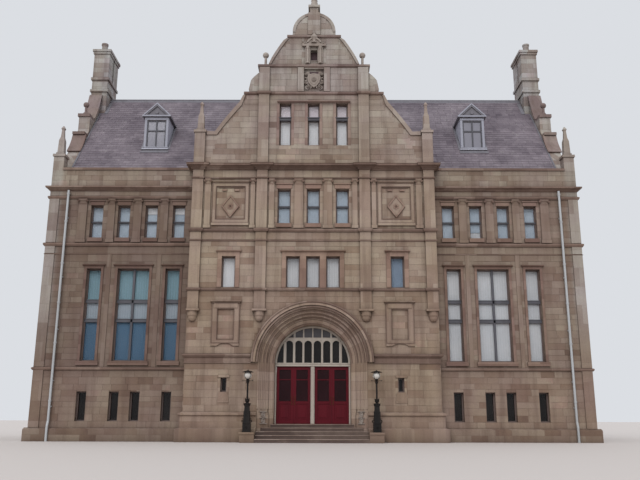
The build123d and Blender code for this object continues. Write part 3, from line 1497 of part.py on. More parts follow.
def dormer_ledge():
    """The sill board of a dormer, just over the slope."""
    reach = DORMER_WIDTH / 2 + DORMER_LEDGE_EAR
    slope_z = eaves_z + (DORMER_FRONT - WALL) * roof_slope
    return block(DORMER_X - reach, DORMER_X + reach, DORMER_FRONT - DORMER_LEDGE_OUT, DORMER_FRONT,
                 slope_z + SEAT_GAP, slope_z + SEAT_GAP + DORMER_LEDGE)


def dormer_body():
    """Cheeks and front of a dormer, open to the attic behind."""
    half = DORMER_WIDTH / 2
    top = DORMER_SILL + DORMER_HEIGHT
    body = dormer_box(0)
    body -= block(DORMER_X - half + DORMER_WALL, DORMER_X + half - DORMER_WALL,
                  DORMER_FRONT + DORMER_WALL, ridge_y + THROUGH, 0, top - DORMER_WALL)
    under = [(0, 0), (WALL, eaves_z - roof_lift), (ridge_y + THROUGH, ridge_z - roof_lift
             + THROUGH * roof_slope), (ridge_y + THROUGH, 0)]
    body -= plate_yz(under, 0, inner_x)
    opening = block(DORMER_X - half + DORMER_POST, DORMER_X + half - DORMER_POST,
                    DORMER_FRONT - THROUGH, DORMER_FRONT + 2 * DORMER_WALL,
                    DORMER_SILL + DORMER_OPENING_RISE, top - DORMER_HEAD)
    return body - opening + dormer_ledge()


def dormer_roof():
    """The pedimented roof of a dormer, running back into the slope."""
    half = DORMER_WIDTH / 2 + DORMER_EAVES
    top = DORMER_SILL + DORMER_HEIGHT
    outline = [(DORMER_X - half, top), (DORMER_X + half, top), (DORMER_X + half, top + DORMER_FASCIA),
               (DORMER_X, top + DORMER_PEDIMENT), (DORMER_X - half, top + DORMER_FASCIA)]
    roof = plate_xz(outline, DORMER_FRONT - DORMER_EAVES, ridge_y)
    rise = DORMER_PEDIMENT - DORMER_FASCIA
    inner = half - DORMER_RAKE * half / rise - DORMER_RAKE
    foot = top + DORMER_FASCIA + DORMER_RAKE / 4
    recess = [(DORMER_X - inner, foot), (DORMER_X + inner, foot), (DORMER_X, foot + inner * rise / half)]
    front = DORMER_FRONT - DORMER_EAVES
    roof -= plate_xz(recess, front - THROUGH, front + DORMER_RECESS)
    vent = Cylinder(DORMER_VENT_RADIUS, DORMER_RECESS, rotation=(90, 0, 0))
    roof += Pos(DORMER_X, front + DORMER_RECESS - DORMER_RECESS / 2 + 10, foot + DORMER_VENT_RADIUS * 1.6) * vent
    main = [(WALL, 0), (WALL, eaves_z), (ridge_y + THROUGH, ridge_z + THROUGH * roof_slope),
            (ridge_y + THROUGH, 0)]
    return roof - plate_yz(main, 0, inner_x)


def chimney():
    """A stack of two shafts on a shared foot, each with its own cap and pot."""
    half = CHIMNEY_LENGTH / 2
    x0, x1 = HALF_LENGTH - CHIMNEY_WIDTH, HALF_LENGTH
    top = CHIMNEY_BASE + CHIMNEY_HEIGHT
    stack = chimney_space()
    for rise in CHIMNEY_BANDS:
        z = CHIMNEY_BASE + rise
        stack += block(x0 - CHIMNEY_BAND_OUT, x1 + CHIMNEY_BAND_OUT, ridge_y - half - CHIMNEY_BAND_OUT,
                       ridge_y + half + CHIMNEY_BAND_OUT, z, z + CHIMNEY_BAND)
    slot_foot = CHIMNEY_BASE + CHIMNEY_BANDS[-1] + CHIMNEY_BAND + CHIMNEY_SLOT_RISE
    stack -= block(x0 - THROUGH, x1 + THROUGH, ridge_y - CHIMNEY_SLOT / 2, ridge_y + CHIMNEY_SLOT / 2,
                   slot_foot, top + THROUGH)
    for side in (-1, 1):
        near, far = sorted((ridge_y + side * CHIMNEY_SLOT / 2, ridge_y + side * half))
        for i, out in enumerate(CHIMNEY_CAP_OUTS):
            foot = top - CHIMNEY_CAP / (i + 1)
            stack += block(x0 - out, x1 + out, near - out, far + out, foot, top)
        centre = Pos((x0 + x1) / 2, (near + far) / 2, top)
        stack -= centre * Cylinder(FLUE_RADIUS, 2 * CHIMNEY_CAP)
        stack += centre * chimney_pot()
    return stack


def chimney_pot():
    """A round pot with a rolled rim, open all the way down."""
    waist = POT_RADIUS * 0.86
    outline = [(FLUE_RADIUS, 0), (POT_RADIUS, 0), (POT_RADIUS, POT_HEIGHT * 0.12),
               (waist, POT_HEIGHT * 0.2), (waist, POT_HEIGHT * 0.78), (POT_RADIUS, POT_HEIGHT * 0.84),
               (POT_RADIUS, POT_HEIGHT), (FLUE_RADIUS, POT_HEIGHT)]
    edge = Polyline(*[(r, 0, z) for r, z in outline], close=True)
    return revolve(make_face(edge), axis=Axis.Z)


# Floors


def floor_slab(x0, x1, front, top):
    """A floor from the inner face of the front to the back wall."""
    return block(x0, x1, front, DEPTH - WALL, top - FLOOR_THICKNESS, top)


def rainwater_pipe():
    """A pipe from the cornice to the ground, set forward round the plinth."""
    wall_y = -STRING_OUT - SEAT_GAP - PIPE_RADIUS
    plinth_y = -PLINTH_OUT - SEAT_GAP - PIPE_RADIUS
    top = wing_cornice - CORNICE_DEPTH
    high = PLINTH_HEIGHT + 2 * PIPE_SET
    low = PLINTH_HEIGHT + PIPE_SET / 2
    pipe = Pos(pipe_x, wall_y, (high + top) / 2) * Cylinder(PIPE_RADIUS, top - high)
    pipe += Pos(pipe_x, plinth_y, low / 2) * Cylinder(PIPE_RADIUS, low)
    pipe += loft([Pos(pipe_x, plinth_y, low) * Circle(PIPE_RADIUS),
                  Pos(pipe_x, wall_y, high) * Circle(PIPE_RADIUS)], ruled=True)
    clear = 2 * STRING_OUT
    for low, high in ((PLINTH_HEIGHT, wing_sill), (wing_sill, wing_top_sill - WING_LINE_DROP)):
        for share in (0.3, 0.8):
            z = low + clear + share * (high - low - 2 * clear)
            pipe += block(pipe_x - PIPE_RADIUS, pipe_x + PIPE_RADIUS, wall_y, 0, z, z + PIPE_CLIP)
    z = wing_top_sill + PIPE_TOP_CLIP
    pipe += block(pipe_x - PIPE_RADIUS, pipe_x + PIPE_RADIUS, wall_y, 0, z, z + PIPE_CLIP)
    return pipe


# Windows of every wall, each in its place


def placed(method):
    """One piece of every window of the wings, the sides and the back."""
    street = pair([getattr(window, method)() for window in wing_windows])
    sides = pair([right_axes * getattr(window, method)() for window in side_windows])
    behind = [back_axes_place * getattr(window, method)() for window in back_windows]
    return street + sides + solids_of(behind)


def front_placed(method):
    """One piece of every window of the frontispiece and the dormers."""
    windows = slit_windows + middle_windows + front_top_windows + gable_windows
    return solids_of([front_axes * getattr(window, method)() for window in windows])


def dormer_casement():
    """The casement in the front of a dormer."""
    width = DORMER_WIDTH - 2 * DORMER_POST
    height = DORMER_HEIGHT - DORMER_OPENING_RISE - DORMER_HEAD
    window = Window(DORMER_X, DORMER_SILL + DORMER_OPENING_RISE, width, height, [DORMER_RAIL], 1)
    shift = Pos(0, DORMER_FRONT - REVEAL + DORMER_CASEMENT_SET, 0)
    return shift * window.joinery(), shift * window.glass()


# All nodes of the building

nodes = {}
nodes["wing_walls"] = pair(wing_wall())
nodes["side_walls"] = pair(side_wall())
nodes["back_wall"] = back_wall()
nodes["front_walls"] = pair(front_wall_side())
nodes["spandrel_wall"] = spandrel_wall()
nodes["front_wall_upper"] = front_wall_upper()
nodes["wing_courses"] = wing_strings() + wing_cornices()
nodes["wall_copings"] = parapet_copings() + skew_copings()
nodes["front_plinth"] = front_plinth()
nodes["front_courses"] = impost_string() + front_strings() + front_cornice_course()
nodes["pilaster_strips"] = pilaster_strips()
nodes["wing_pilasters"] = wing_pilasters()
nodes["front_pilasters"] = front_pilasters()
nodes["window_surrounds"] = window_surrounds()
nodes["wall_panels"] = wall_panels()
nodes["arch_ring"] = arch_ring()
nodes["arch_hood"] = arch_hood()
nodes["door_jambs"] = door_jambs()
nodes["door_frame"] = door_frame()
for number in range(4):
    nodes["door_frame"] += hinges(number, False)
nodes["fanlight"] = fanlight()
for number in range(4):
    nodes[f"door_leaf_{number + 1}"] = door_leaf(number)
    nodes[f"door_glass_{number + 1}"] = leaf_glass(number)
nodes["entrance_steps"] = entrance_steps()
nodes["step_piers"] = step_piers()
nodes["lamp_standards"] = pair(lamp_standard())
nodes["lamp_globes"] = pair(lamp_globe())
nodes["lamp_canopies"] = pair(lamp_canopy())
nodes["gable_wall"] = gable_wall()
nodes["gable_upper_stages"] = [gable_panel_stage(), gable_niche_stage(), gable_head()]
nodes["gable_carvings"] = carved_panel() + [niche_surround()]
nodes["gable_ledges"] = gable_ledge_stones()
nodes["gable_copings"] = gable_copings()
nodes["pedestals"] = corner_pedestals() + shoulder_pedestals()
nodes["obelisks"] = obelisks()
nodes["gable_finials"] = ball_finials() + [apex_finial()]
nodes["roof_front"] = roof_front()
nodes["roof_back"] = roof_back()
nodes["cross_roof"] = cross_roof()
nodes["ridges"] = ridges()
nodes["dormer_bodies"] = pair(dormer_body())
nodes["dormer_roofs"] = pair(dormer_roof())
nodes["chimneys"] = pair(chimney())
nodes["ground_floor"] = floor_slab(-inner_x, inner_x, porch_back, GROUND_FLOOR)
nodes["first_floors"] = pair(floor_slab(FRONT_HALF, inner_x, WALL, wing_sill))
nodes["upper_floors"] = [
    floor_slab(-inner_x, inner_x, WALL, wing_top_sill - FLOOR_UNDER_SILL),
    floor_slab(-inner_x, inner_x, WALL, attic_floor),
]
nodes["rainwater_pipes"] = pair(rainwater_pipe())
dormer_frame, dormer_pane = dormer_casement()
nodes["wing_window_frames"] = placed("joinery")
nodes["wing_window_glass"] = placed("glass")
nodes["front_window_frames"] = front_placed("joinery") + pair(dormer_frame)
nodes["front_window_glass"] = front_placed("glass") + pair(dormer_pane) + [fanlight_glass()]

os.makedirs("parts", exist_ok=True)
for name, shape in nodes.items():
    parts = solids_of(shape)
    export_step(parts[0] if len(parts) == 1 else Compound(children=parts), f"parts/{name}.step")
    print(name, len(parts), round(sum(part.volume for part in parts) / 1e9, 3), "m3")
print(len(nodes), "nodes")
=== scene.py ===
import logging
import math
import random
from dataclasses import dataclass, field, replace
from enum import Enum
from typing import Callable, ClassVar, Iterable, Sequence

import bmesh
import bpy
import numpy as np
from mathutils import Matrix, Vector


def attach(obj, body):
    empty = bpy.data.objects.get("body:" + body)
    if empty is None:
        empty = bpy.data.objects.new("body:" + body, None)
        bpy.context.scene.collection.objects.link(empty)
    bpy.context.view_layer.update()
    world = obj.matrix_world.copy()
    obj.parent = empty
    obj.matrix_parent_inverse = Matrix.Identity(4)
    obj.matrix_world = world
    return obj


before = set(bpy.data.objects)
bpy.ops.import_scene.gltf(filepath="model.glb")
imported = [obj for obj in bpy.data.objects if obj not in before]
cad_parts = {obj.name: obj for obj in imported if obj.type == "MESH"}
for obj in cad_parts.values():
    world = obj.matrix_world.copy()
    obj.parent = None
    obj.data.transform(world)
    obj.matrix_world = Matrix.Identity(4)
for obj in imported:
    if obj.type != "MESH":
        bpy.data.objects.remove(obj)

LOG = logging.getLogger("town_hall")
BODY = "building"
BOTH = (-1, 1)
END_X = 13.0
DEPTH = 11.0
FRONT_X, FRONT_Y = 5.87, -0.6
SPRING = 3.55
EAVES_Y, EAVES_Z = 0.6, 13.07
RIDGE_Y, RIDGE_Z = 5.5, 19.27
ROOF_X = 12.4
STACK_X, STACK_Y = 12.03, 4.5
MAIN_LENGTH = math.hypot(RIDGE_Y - EAVES_Y, RIDGE_Z - EAVES_Z)
CROSS_HALF, CROSS_FOOT, CROSS_TOP = 5.62, 13.17, 19.02
CROSS_LENGTH = math.hypot(CROSS_HALF, CROSS_TOP - CROSS_FOOT)
DORMER_X = 8.46

Span = tuple[float, float]
Rect = tuple[float, float, float, float]
Point = tuple[float, float, float]
Screen = tuple[int, int, int]
Stops = tuple[tuple[float, Screen], ...]
Material = bpy.types.Material
Node = bpy.types.Node
Socket = bpy.types.NodeSocket
Tree = bpy.types.NodeTree
Profile = tuple[Span, ...]
Surface = tuple[dict, Socket, float, float]


def tone(red: int, green: int, blue: int) -> tuple[float, float, float, float]:
    """A colour as it shows on a screen, made linear for a shader.

    Args:
        red, green, blue: Screen values from 0 to 255.

    Returns:
        The linear colour with an alpha of 1.
    """
    linear = [((value / 255 + 0.055) / 1.055) ** 2.4 for value in (red, green, blue)]
    return (*linear, 1.0)


class Graph:
    """Adds nodes to a node tree and links them."""

    def __init__(self, tree: Tree) -> None:
        """Start on an empty tree."""
        self.tree = tree
        tree.nodes.clear()

    def add(self, kind: str, inputs: dict | None = None, **settings: object) -> Node:
        """Add one node.

        Args:
            kind: The node's type name, without the word ShaderNode.
            inputs: Values or output sockets for its inputs, by name or number.
            settings: Properties to set on the node.

        Returns:
            The new node.
        """
        node = self.tree.nodes.new(kind if kind.startswith("Node") else "ShaderNode" + kind)
        for name, value in settings.items():
            setattr(node, name, value)
        for name, value in (inputs or {}).items():
            if isinstance(value, Socket):
                self.tree.links.new(value, node.inputs[name])
            else:
                node.inputs[name].default_value = value
        return node

    def group(self, tree: Tree, **inputs: object) -> Sequence[Socket]:
        """The outputs of a shader group, given its inputs."""
        return self.add("Group", inputs, node_tree=tree).outputs

    def maths(self, operation: str, *values: object) -> Socket:
        """A Math node's output."""
        return self.add("Math", dict(enumerate(values)), operation=operation).outputs[0]

    def times(self, *values: object) -> Socket:
        """Two values multiplied."""
        return self.maths("MULTIPLY", *values)

    def most(self, *values: object) -> Socket:
        """The greater of two values."""
        return self.maths("MAXIMUM", *values)

    def axes(self, place: Socket) -> Sequence[Socket]:
        """A point's three values."""
        return self.add("SeparateXYZ", {0: place}).outputs

    def ranged(self, value: object, low: float, high: float, out_low: float = 0.0,
               out_high: float = 1.0) -> Socket:
        """A value mapped smoothly from one range to another.

        Args:
            value: The value.
            low, high: The range that it comes from.
            out_low, out_high: The range that it goes to.

        Returns:
            The mapped value.
        """
        inputs = {"Value": value, "From Min": low, "From Max": high, "To Min": out_low,
                  "To Max": out_high}
        return self.add("MapRange", inputs, interpolation_type="SMOOTHSTEP").outputs["Result"]

    def blend(self, share: object, first: object, second: object, how: str = "MIX") -> Socket:
        """A colour mixed from two others."""
        inputs = {0: share, 6: first, 7: second}
        return self.add("Mix", inputs, data_type="RGBA", blend_type=how).outputs[2]

    def grained(self, colour: Socket, grain: Socket, low: float, high: float) -> Socket:
        """A colour made darker and lighter by a fine grain."""
        return self.blend(1.0, colour, self.ranged(grain, 0.3, 0.7, low, high), "MULTIPLY")

    def ramp(self, share: object, stops: Stops) -> Socket:
        """A colour picked from a row of stops by a share from 0 to 1.

        Args:
            share: The share.
            stops: Each stop's place and screen colour, in order.

        Returns:
            The colour.
        """
        node = self.add("ValToRGB", {"Fac": share})
        points = node.color_ramp.elements
        points.remove(points[1])
        points[0].position = stops[0][0]
        points[0].color = tone(*stops[0][1])
        for position, colour in stops[1:]:
            points.new(position).color = tone(*colour)
        return node.outputs["Color"]

    def noise(self, vector: Socket, scale: object, detail: float, rough: float = 0.6) -> Socket:
        """A noise value at a point."""
        inputs = {"Vector": vector, "Scale": scale, "Detail": detail, "Roughness": rough}
        return self.add("TexNoise", inputs).outputs["Fac"]

    def bricks(self, x: object, y: Socket, seam: float, width: object, row: Socket) -> tuple:
        """How close a joint of brickwork is, and each brick's own tone.

        Args:
            x, y: The place along a row and across the rows.
            seam: The joints' width.
            width: A brick's length.
            row: A row's height.

        Returns:
            The joint's mask and the brick's tone.
        """
        flat = self.add("CombineXYZ", {"X": x, "Y": y, "Z": 0.0})
        brick = self.add("TexBrick", {
            "Vector": flat.outputs[0], "Color1": (0.0, 0.0, 0.0, 1.0), "Color2": (1.0, 1.0, 1.0, 1.0),
            "Mortar": (0.5, 0.5, 0.5, 1.0), "Scale": 1.0, "Mortar Size": seam, "Mortar Smooth": 0.2,
            "Bias": 0.0, "Brick Width": width, "Row Height": row,
        })
        return brick.outputs["Fac"], brick.outputs["Color"]


def shader_group(inputs: dict[str, float | None], *outputs: str) -> Callable:
    """Make a shader group of the nodes that a function adds.

    Args:
        inputs: The first value of each input, or none for a point.
        outputs: The outputs' names; Stone and Tone are colours.

    Returns:
        What turns the function into the group's node tree.
    """

    def made(build: Callable[[Graph, Sequence[Socket]], tuple]) -> Tree:
        """Fill the group and link what the function gives to its outputs.

        Args:
            build: Adds the nodes and gives the outputs.

        Returns:
            The group's node tree.
        """
        tree = bpy.data.node_groups.new(build.__name__.lower(), "ShaderNodeTree")
        for label, value in inputs.items():
            kind = "NodeSocketVector" if value is None else "NodeSocketFloat"
            socket = tree.interface.new_socket(label, in_out="INPUT", socket_type=kind)
            if value is not None:
                socket.default_value = value
        for label in outputs:
            kind = "NodeSocketColor" if label in ("Stone", "Tone") else "NodeSocketFloat"
            tree.interface.new_socket(label, in_out="OUTPUT", socket_type=kind)
        graph = Graph(tree)
        given = graph.add("NodeGroupInput").outputs
        graph.add("NodeGroupOutput", dict(zip(outputs, build(graph, given))))
        return tree

    return made


@shader_group({"Place": None, "Scale": 24.0}, "Patch", "Streak", "Grain")
def WEATHERING(graph: Graph, given: Sequence[Socket]) -> tuple:
    """Broad patches, rain streaks and fine grain of an outdoor surface.

    Args:
        graph: The group's graph.
        given: The group's inputs.

    Returns:
        The three values.
    """
    place = given["Place"]
    patch = graph.noise(place, 0.55, 5.0)
    stretched = graph.add("VectorMath", {0: place, 1: (2.6, 2.6, 0.22)}, operation="MULTIPLY")
    streak = graph.noise(stretched.outputs[0], 1.0, 4.0)
    grain = graph.noise(place, given["Scale"], 5.0)
    return graph.ranged(patch, 0.3, 0.7), graph.ranged(streak, 0.42, 0.72), grain


@shader_group({"Place": None, "Course": 0.3, "Length": 0.7}, "Joint", "Stone")
def JOINTS(graph: Graph, given: Sequence[Socket]) -> tuple:
    """Courses of dressed stone, on the distance along the wall and the height."""
    x, y, z = graph.axes(given["Place"])
    return graph.bricks(graph.maths("ADD", x, y), z, 0.006, given["Length"], given["Course"])


@shader_group({"Place": None, "Course": 0.4, "Length": 0.7}, "Joint", "Stone")
def ARCH_JOINTS(graph: Graph, given: Sequence[Socket]) -> tuple:
    """Joints that point to the centre of the entrance arch, level below its spring.

    Args:
        graph: The group's graph.
        given: The group's inputs.

    Returns:
        The joint's mask and the stone's tone.
    """
    x, _, z = graph.axes(given["Place"])
    rise = graph.maths("SUBTRACT", z, SPRING)
    angle = graph.maths("ARCTAN2", graph.most(rise, 0.0), graph.maths("ABSOLUTE", x))
    along = graph.maths("ADD", graph.times(angle, 2.2), graph.maths("MINIMUM", rise, 0.0))
    return graph.bricks(0.35, along, 0.008, 50.0, given["Course"])


@shader_group({"Place": None}, "Under")
def PAINTED_LEDGE_SHADE(graph: Graph, given: Sequence[Socket]) -> tuple:
    """Painted shade under the string courses, ledges and cornices.

    Args:
        graph: The group's graph.
        given: The group's inputs.

    Returns:
        How strong the painted shade is.
    """
    wings = (3.2, 8.72, 9.13, 11.52, 11.92, 13.03)
    street = (3.49, 6.85, 9.24, 9.71, 12.37, 12.82, 13.93, 16.39, 16.81, 18.32, 19.97)
    x, y, z = graph.axes(given["Place"])

    def below(levels: Sequence[float]) -> Socket:
        """How close a point is under the nearest of several levels.

        Args:
            levels: Their heights.

        Returns:
            The share, 1 right under a level.
        """
        nearest = None
        for level in levels:
            drop = graph.maths("SUBTRACT", level, z)
            under = graph.times(graph.ranged(drop, 0.02, 0.55, 1.0, 0.0),
                                graph.ranged(drop, -0.02, 0.0))
            nearest = graph.most(nearest, under) if nearest else under
        return nearest

    wide = graph.maths("ABSOLUTE", x)
    front = graph.times(graph.maths("LESS_THAN", wide, 5.9), graph.maths("LESS_THAN", y, 1.0))
    first = graph.times(front, below(street))
    other = graph.times(graph.maths("SUBTRACT", 1.0, front), below(wings))
    return (graph.maths("ADD", first, other),)


@shader_group({"Place": None}, "Tone")
def ZONES(graph: Graph, given: Sequence[Socket]) -> tuple:
    """How the stone's colour changes from storey to storey, with painted shade that makes the left wing
    darker than the right, as a colour to multiply with.

    Args:
        graph: The group's graph.
        given: The group's inputs.

    Returns:
        The colour.
    """
    across, depth, height = graph.axes(given["Place"])
    wide = graph.maths("ABSOLUTE", across)
    wing = graph.most(graph.ranged(wide, 5.9, 5.95), graph.ranged(depth, 1.0, 1.2))
    # Painted shade: the wings darker towards the left and lighter towards the right.
    side = graph.ranged(across, -6.0, 6.0)
    ends = graph.blend(side, (0.57, 0.54, 0.56, 1.0), (0.76, 0.74, 0.76, 1.0))
    base = graph.blend(side, (0.69, 0.65, 0.67, 1.0), (0.78, 0.73, 0.74, 1.0))
    ends = graph.blend(graph.ranged(height, 2.6, 3.6, 1.0, 0.0), ends, base)
    ends = graph.blend(graph.ranged(height, 11.3, 11.7), ends, (0.86, 0.88, 0.92, 1.0))
    colour = graph.blend(wing, (1.0, 1.0, 1.0, 1.0), ends)
    lower = graph.times(graph.ranged(height, 6.9, 6.95, 1.0, 0.0), graph.maths("SUBTRACT", 1.0, wing))
    stack = graph.times(graph.ranged(height, 18.1, 18.3), graph.ranged(wide, 11.8, 11.9))
    corner = graph.times(graph.ranged(wide, 12.3, 12.6, 0.0, 0.75), graph.ranged(height, 3.2, 7.0))
    for share, shade in ((lower, (0.88, 0.84, 0.82, 1.0)),
                         (graph.ranged(height, 12.5, 14.5), (0.97, 1.02, 1.12, 1.0)),
                         (graph.ranged(height, 16.8, 17.2), (1.06, 1.2, 1.4, 1.0)),
                         (stack, (1.08, 1.3, 1.65, 1.0)), (corner, (1.06, 1.24, 1.46, 1.0))):
        colour = graph.blend(share, colour, shade)
    broad = graph.ranged(graph.noise(given["Place"], 0.5, 3.0, 0.55), 0.35, 0.65)
    hue = graph.blend(broad, (1.05, 1.03, 0.95, 1.0), (1.0, 0.94, 0.94, 1.0))
    colour = graph.blend(1.0, colour, hue, "MULTIPLY")
    splash = graph.ranged(height, 0.05, 0.75, 0.45, 0.0)
    return (graph.blend(splash, colour, (0.42, 0.38, 0.34, 1.0)),)


@shader_group({"Reach": 0.3}, "Painted Shade")
def GRIME(graph: Graph, given: Sequence[Socket]) -> tuple:
    """Painted shade in corners and under projections, darker where less of the sky is seen."""
    shut = graph.add("AmbientOcclusion", {"Distance": given["Reach"]}, samples=4)
    return (graph.ranged(shut.outputs["AO"], 0.35, 0.95, 1.0, 0.0),)


@shader_group({"Place": None, "Rate": 8.0}, "Line")
def SLATS(graph: Graph, given: Sequence[Socket]) -> tuple:
    """Narrow upright lines between the slats of a blind.

    Args:
        graph: The group's graph.
        given: The group's inputs.

    Returns:
        The lines' mask.
    """
    x, y, _ = graph.axes(given["Place"])
    share = graph.maths("FRACT", graph.times(graph.maths("ADD", x, y), given["Rate"]))
    return (graph.ranged(share, 0.0, 0.3, 1.0, 0.0),)


ASHLAR: Stops = ((0.0, (110, 92, 81)), (0.2, (129, 110, 96)), (0.42, (141, 125, 111)),
                 (0.62, (148, 134, 120)), (0.8, (157, 144, 129)), (0.9, (153, 133, 121)),
                 (1.0, (166, 151, 133)))
DRESSINGS: Stops = ((0.0, (126, 107, 94)), (0.5, (146, 130, 116)), (1.0, (158, 144, 131)))
# Darker brown stone of the mouldings: partly their own colour, partly painted shade of the dark lines
# under them.
MOULDINGS: Stops = ((0.0, (98, 79, 70)), (0.5, (119, 98, 87)), (1.0, (140, 121, 109)))
ROSY: Stops = ((0.0, (112, 90, 80)), (0.5, (136, 114, 102)), (1.0, (152, 132, 119)))
PALE_CARVING: Stops = ((0.0, (132, 119, 110)), (0.5, (152, 141, 132)), (1.0, (166, 155, 145)))
# Dark tones of the risers, painted shade.
SHADED_RISERS: Stops = ((0.0, (66, 52, 46)), (0.5, (82, 66, 59)), (1.0, (100, 84, 75)))
PANES: Stops = ((0.0, (52, 88, 118)), (0.276, (60, 96, 124)), (0.279, (152, 162, 170)),
                (0.322, (158, 166, 174)), (0.325, (120, 152, 162)), (1.0, (120, 152, 162)))
# Dark tones of the painted shade in the niche and under the panel head.
RECESS_SHADE_STOPS: Stops = ((0.0, (66, 52, 56)), (0.5, (78, 62, 66)), (1.0, (92, 74, 76)))
ARCHES: Stops = ((0.0, (132, 113, 100)), (0.5, (156, 140, 127)), (1.0, (172, 158, 146)))
WORN: Stops = ((0.0, (118, 100, 90)), (0.5, (138, 121, 110)), (1.0, (154, 138, 126)))
# Brown of stains and dark joints, also the colour of the painted shade under ledges.
STAIN_AND_SHADE = tone(84, 66, 57)


@dataclass(frozen=True)
class Finish:
    """What a piece is finished with, and how fine its grain is; each kind has its own surface."""

    name: str
    grain: ClassVar[float] = 30.0

    def surface(self, graph: Graph, place: Socket, worn: Sequence[Socket]) -> Surface:
        """Add the nodes of the surface.

        Args:
            graph: The material's graph.
            place: The point on the piece in the building's own frame.
            worn: The weathering's outputs.

        Returns:
            The shader's inputs, and the bump's height, strength and distance in metres.
        """
        raise NotImplementedError

    def material(self) -> Material:
        """Build the node material.

        Returns:
            The new material.
        """
        made = bpy.data.materials.new(self.name)
        made.use_nodes = True
        graph = Graph(made.node_tree)
        place = graph.add("TexCoord").outputs["Object"]
        worn = graph.group(WEATHERING, Place=place, Scale=self.grain)
        inputs, height, strength, distance = self.surface(graph, place, worn)
        bump = graph.add("Bump", {"Height": height, "Strength": strength, "Distance": distance})
        shader = graph.add("BsdfPrincipled", {**inputs, "Normal": bump.outputs[0]})
        graph.add("OutputMaterial", {"Surface": shader.outputs[0]})
        return made


@dataclass(frozen=True)
class Stone(Finish):
    """Weathered sandstone, with stones drawn as a pattern or taken from a piece's own tints."""

    stops: Stops = ASHLAR
    course: float = 0.30
    length: float = 0.74
    tinted: bool = False
    radial: bool = False
    joint: float = 0.5
    recess_shade: float = 0.4
    # How strong the painted shade under ledges is, with its stain streaks.
    under: float = 0.5
    zoned: bool = True
    # How strong the painted shade in corners is.
    grime: float = 0.5

    def surface(self, graph: Graph, place: Socket, worn: Sequence[Socket]) -> Surface:
        """Stones, zones, soot streaks, painted shade under ledges and in corners, and joints.

        Args:
            graph: The material's graph.
            place: The point on the piece.
            worn: The weathering's outputs.

        Returns:
            The shader's inputs, and the bump's height, strength and distance.
        """
        joints = graph.group(ARCH_JOINTS if self.radial else JOINTS, Place=place,
                             Course=self.course, Length=self.length)
        share = joints["Stone"]
        if self.tinted:
            share = graph.add("Attribute", attribute_name="tint").outputs["Fac"]
        mixed = graph.maths("ADD", graph.times(share, 0.68), graph.times(worn["Patch"], 0.32))
        colour = graph.ramp(mixed, self.stops)
        if self.zoned:
            colour = graph.blend(1.0, colour, graph.group(ZONES, Place=place)["Tone"], "MULTIPLY")
        # Painted shade under the ledges, broken up by stain streaks, mixed with the soot streaks.
        runs = graph.times(graph.group(PAINTED_LEDGE_SHADE, Place=place)["Under"],
                           graph.ranged(worn["Streak"], 0.0, 1.0, 0.45, 1.0))
        dirt_and_shade = graph.most(graph.times(worn["Streak"], self.recess_shade), graph.times(runs, self.under))
        colour = graph.blend(dirt_and_shade, colour, STAIN_AND_SHADE)
        # Painted shade in corners and under projections, in a dark brown.
        grime = graph.times(graph.group(GRIME, Reach=0.28)["Painted Shade"], self.grime)
        colour = graph.blend(grime, colour, tone(58, 44, 38))
        colour = graph.grained(colour, worn["Grain"], 0.9, 1.07)
        height = worn["Grain"]
        if not self.tinted:
            colour = graph.blend(graph.times(joints["Joint"], self.joint), colour, STAIN_AND_SHADE)
            height = graph.maths("SUBTRACT", height, joints["Joint"])
        inputs = {"Base Color": colour, "Roughness": 0.92, "Specular IOR Level": 0.3}
        return inputs, height, 0.35, 0.012


@dataclass(frozen=True)
class StepStone(Finish):
    """Steps whose tops are pale, from wear and painted light, and whose risers are painted dark as
    shade.
    """

    grain: ClassVar[float] = 26.0

    def surface(self, graph: Graph, place: Socket, worn: Sequence[Socket]) -> Surface:
        """Treads and risers, told apart by the way they face: the tops painted light, the risers
        painted dark as shade.

        Args:
            graph: The material's graph.
            place: The point on the piece.
            worn: The weathering's outputs.

        Returns:
            The shader's inputs, and the bump's height, strength and distance.
        """
        facing = graph.axes(graph.add("NewGeometry").outputs["Normal"])
        # Painted light and shade: faces that point up take the pale colour, the others the dark riser
        # tones.
        colour = graph.blend(graph.ranged(facing["Z"], 0.3, 0.8), graph.ramp(worn["Patch"], SHADED_RISERS),
                             tone(138, 118, 106))
        colour = graph.blend(graph.times(worn["Streak"], 0.4), colour, tone(74, 60, 54))
        colour = graph.grained(colour, worn["Grain"], 0.88, 1.08)
        return {"Base Color": colour, "Roughness": 0.88}, worn["Grain"], 0.3, 0.006


@dataclass(frozen=True)
class Slate(Finish):
    """Purple-grey slates with lichen, each with its own tone."""

    grain: ClassVar[float] = 18.0

    def surface(self, graph: Graph, place: Socket, worn: Sequence[Socket]) -> Surface:
        """The slates' tints, with lichen and streaks over them.

        Args:
            graph: The material's graph.
            place: The point on the piece.
            worn: The weathering's outputs.

        Returns:
            The shader's inputs, and the bump's height, strength and distance.
        """
        tint = graph.add("Attribute", attribute_name="tint").outputs["Fac"]
        share = graph.maths("ADD", graph.times(tint, 0.45), graph.times(worn["Patch"], 0.55))
        colour = graph.blend(share, tone(72, 61, 70), tone(124, 113, 119))
        spots = graph.ranged(graph.noise(place, 6.5, 6.0, 0.75), 0.55, 0.68, 0.0, 0.6)
        colour = graph.blend(graph.times(spots, worn["Patch"]), colour, tone(158, 153, 148))
        colour = graph.blend(graph.times(worn["Streak"], 0.3), colour, tone(78, 68, 76))
        return {"Base Color": colour, "Roughness": 0.62}, worn["Grain"], 0.25, 0.004


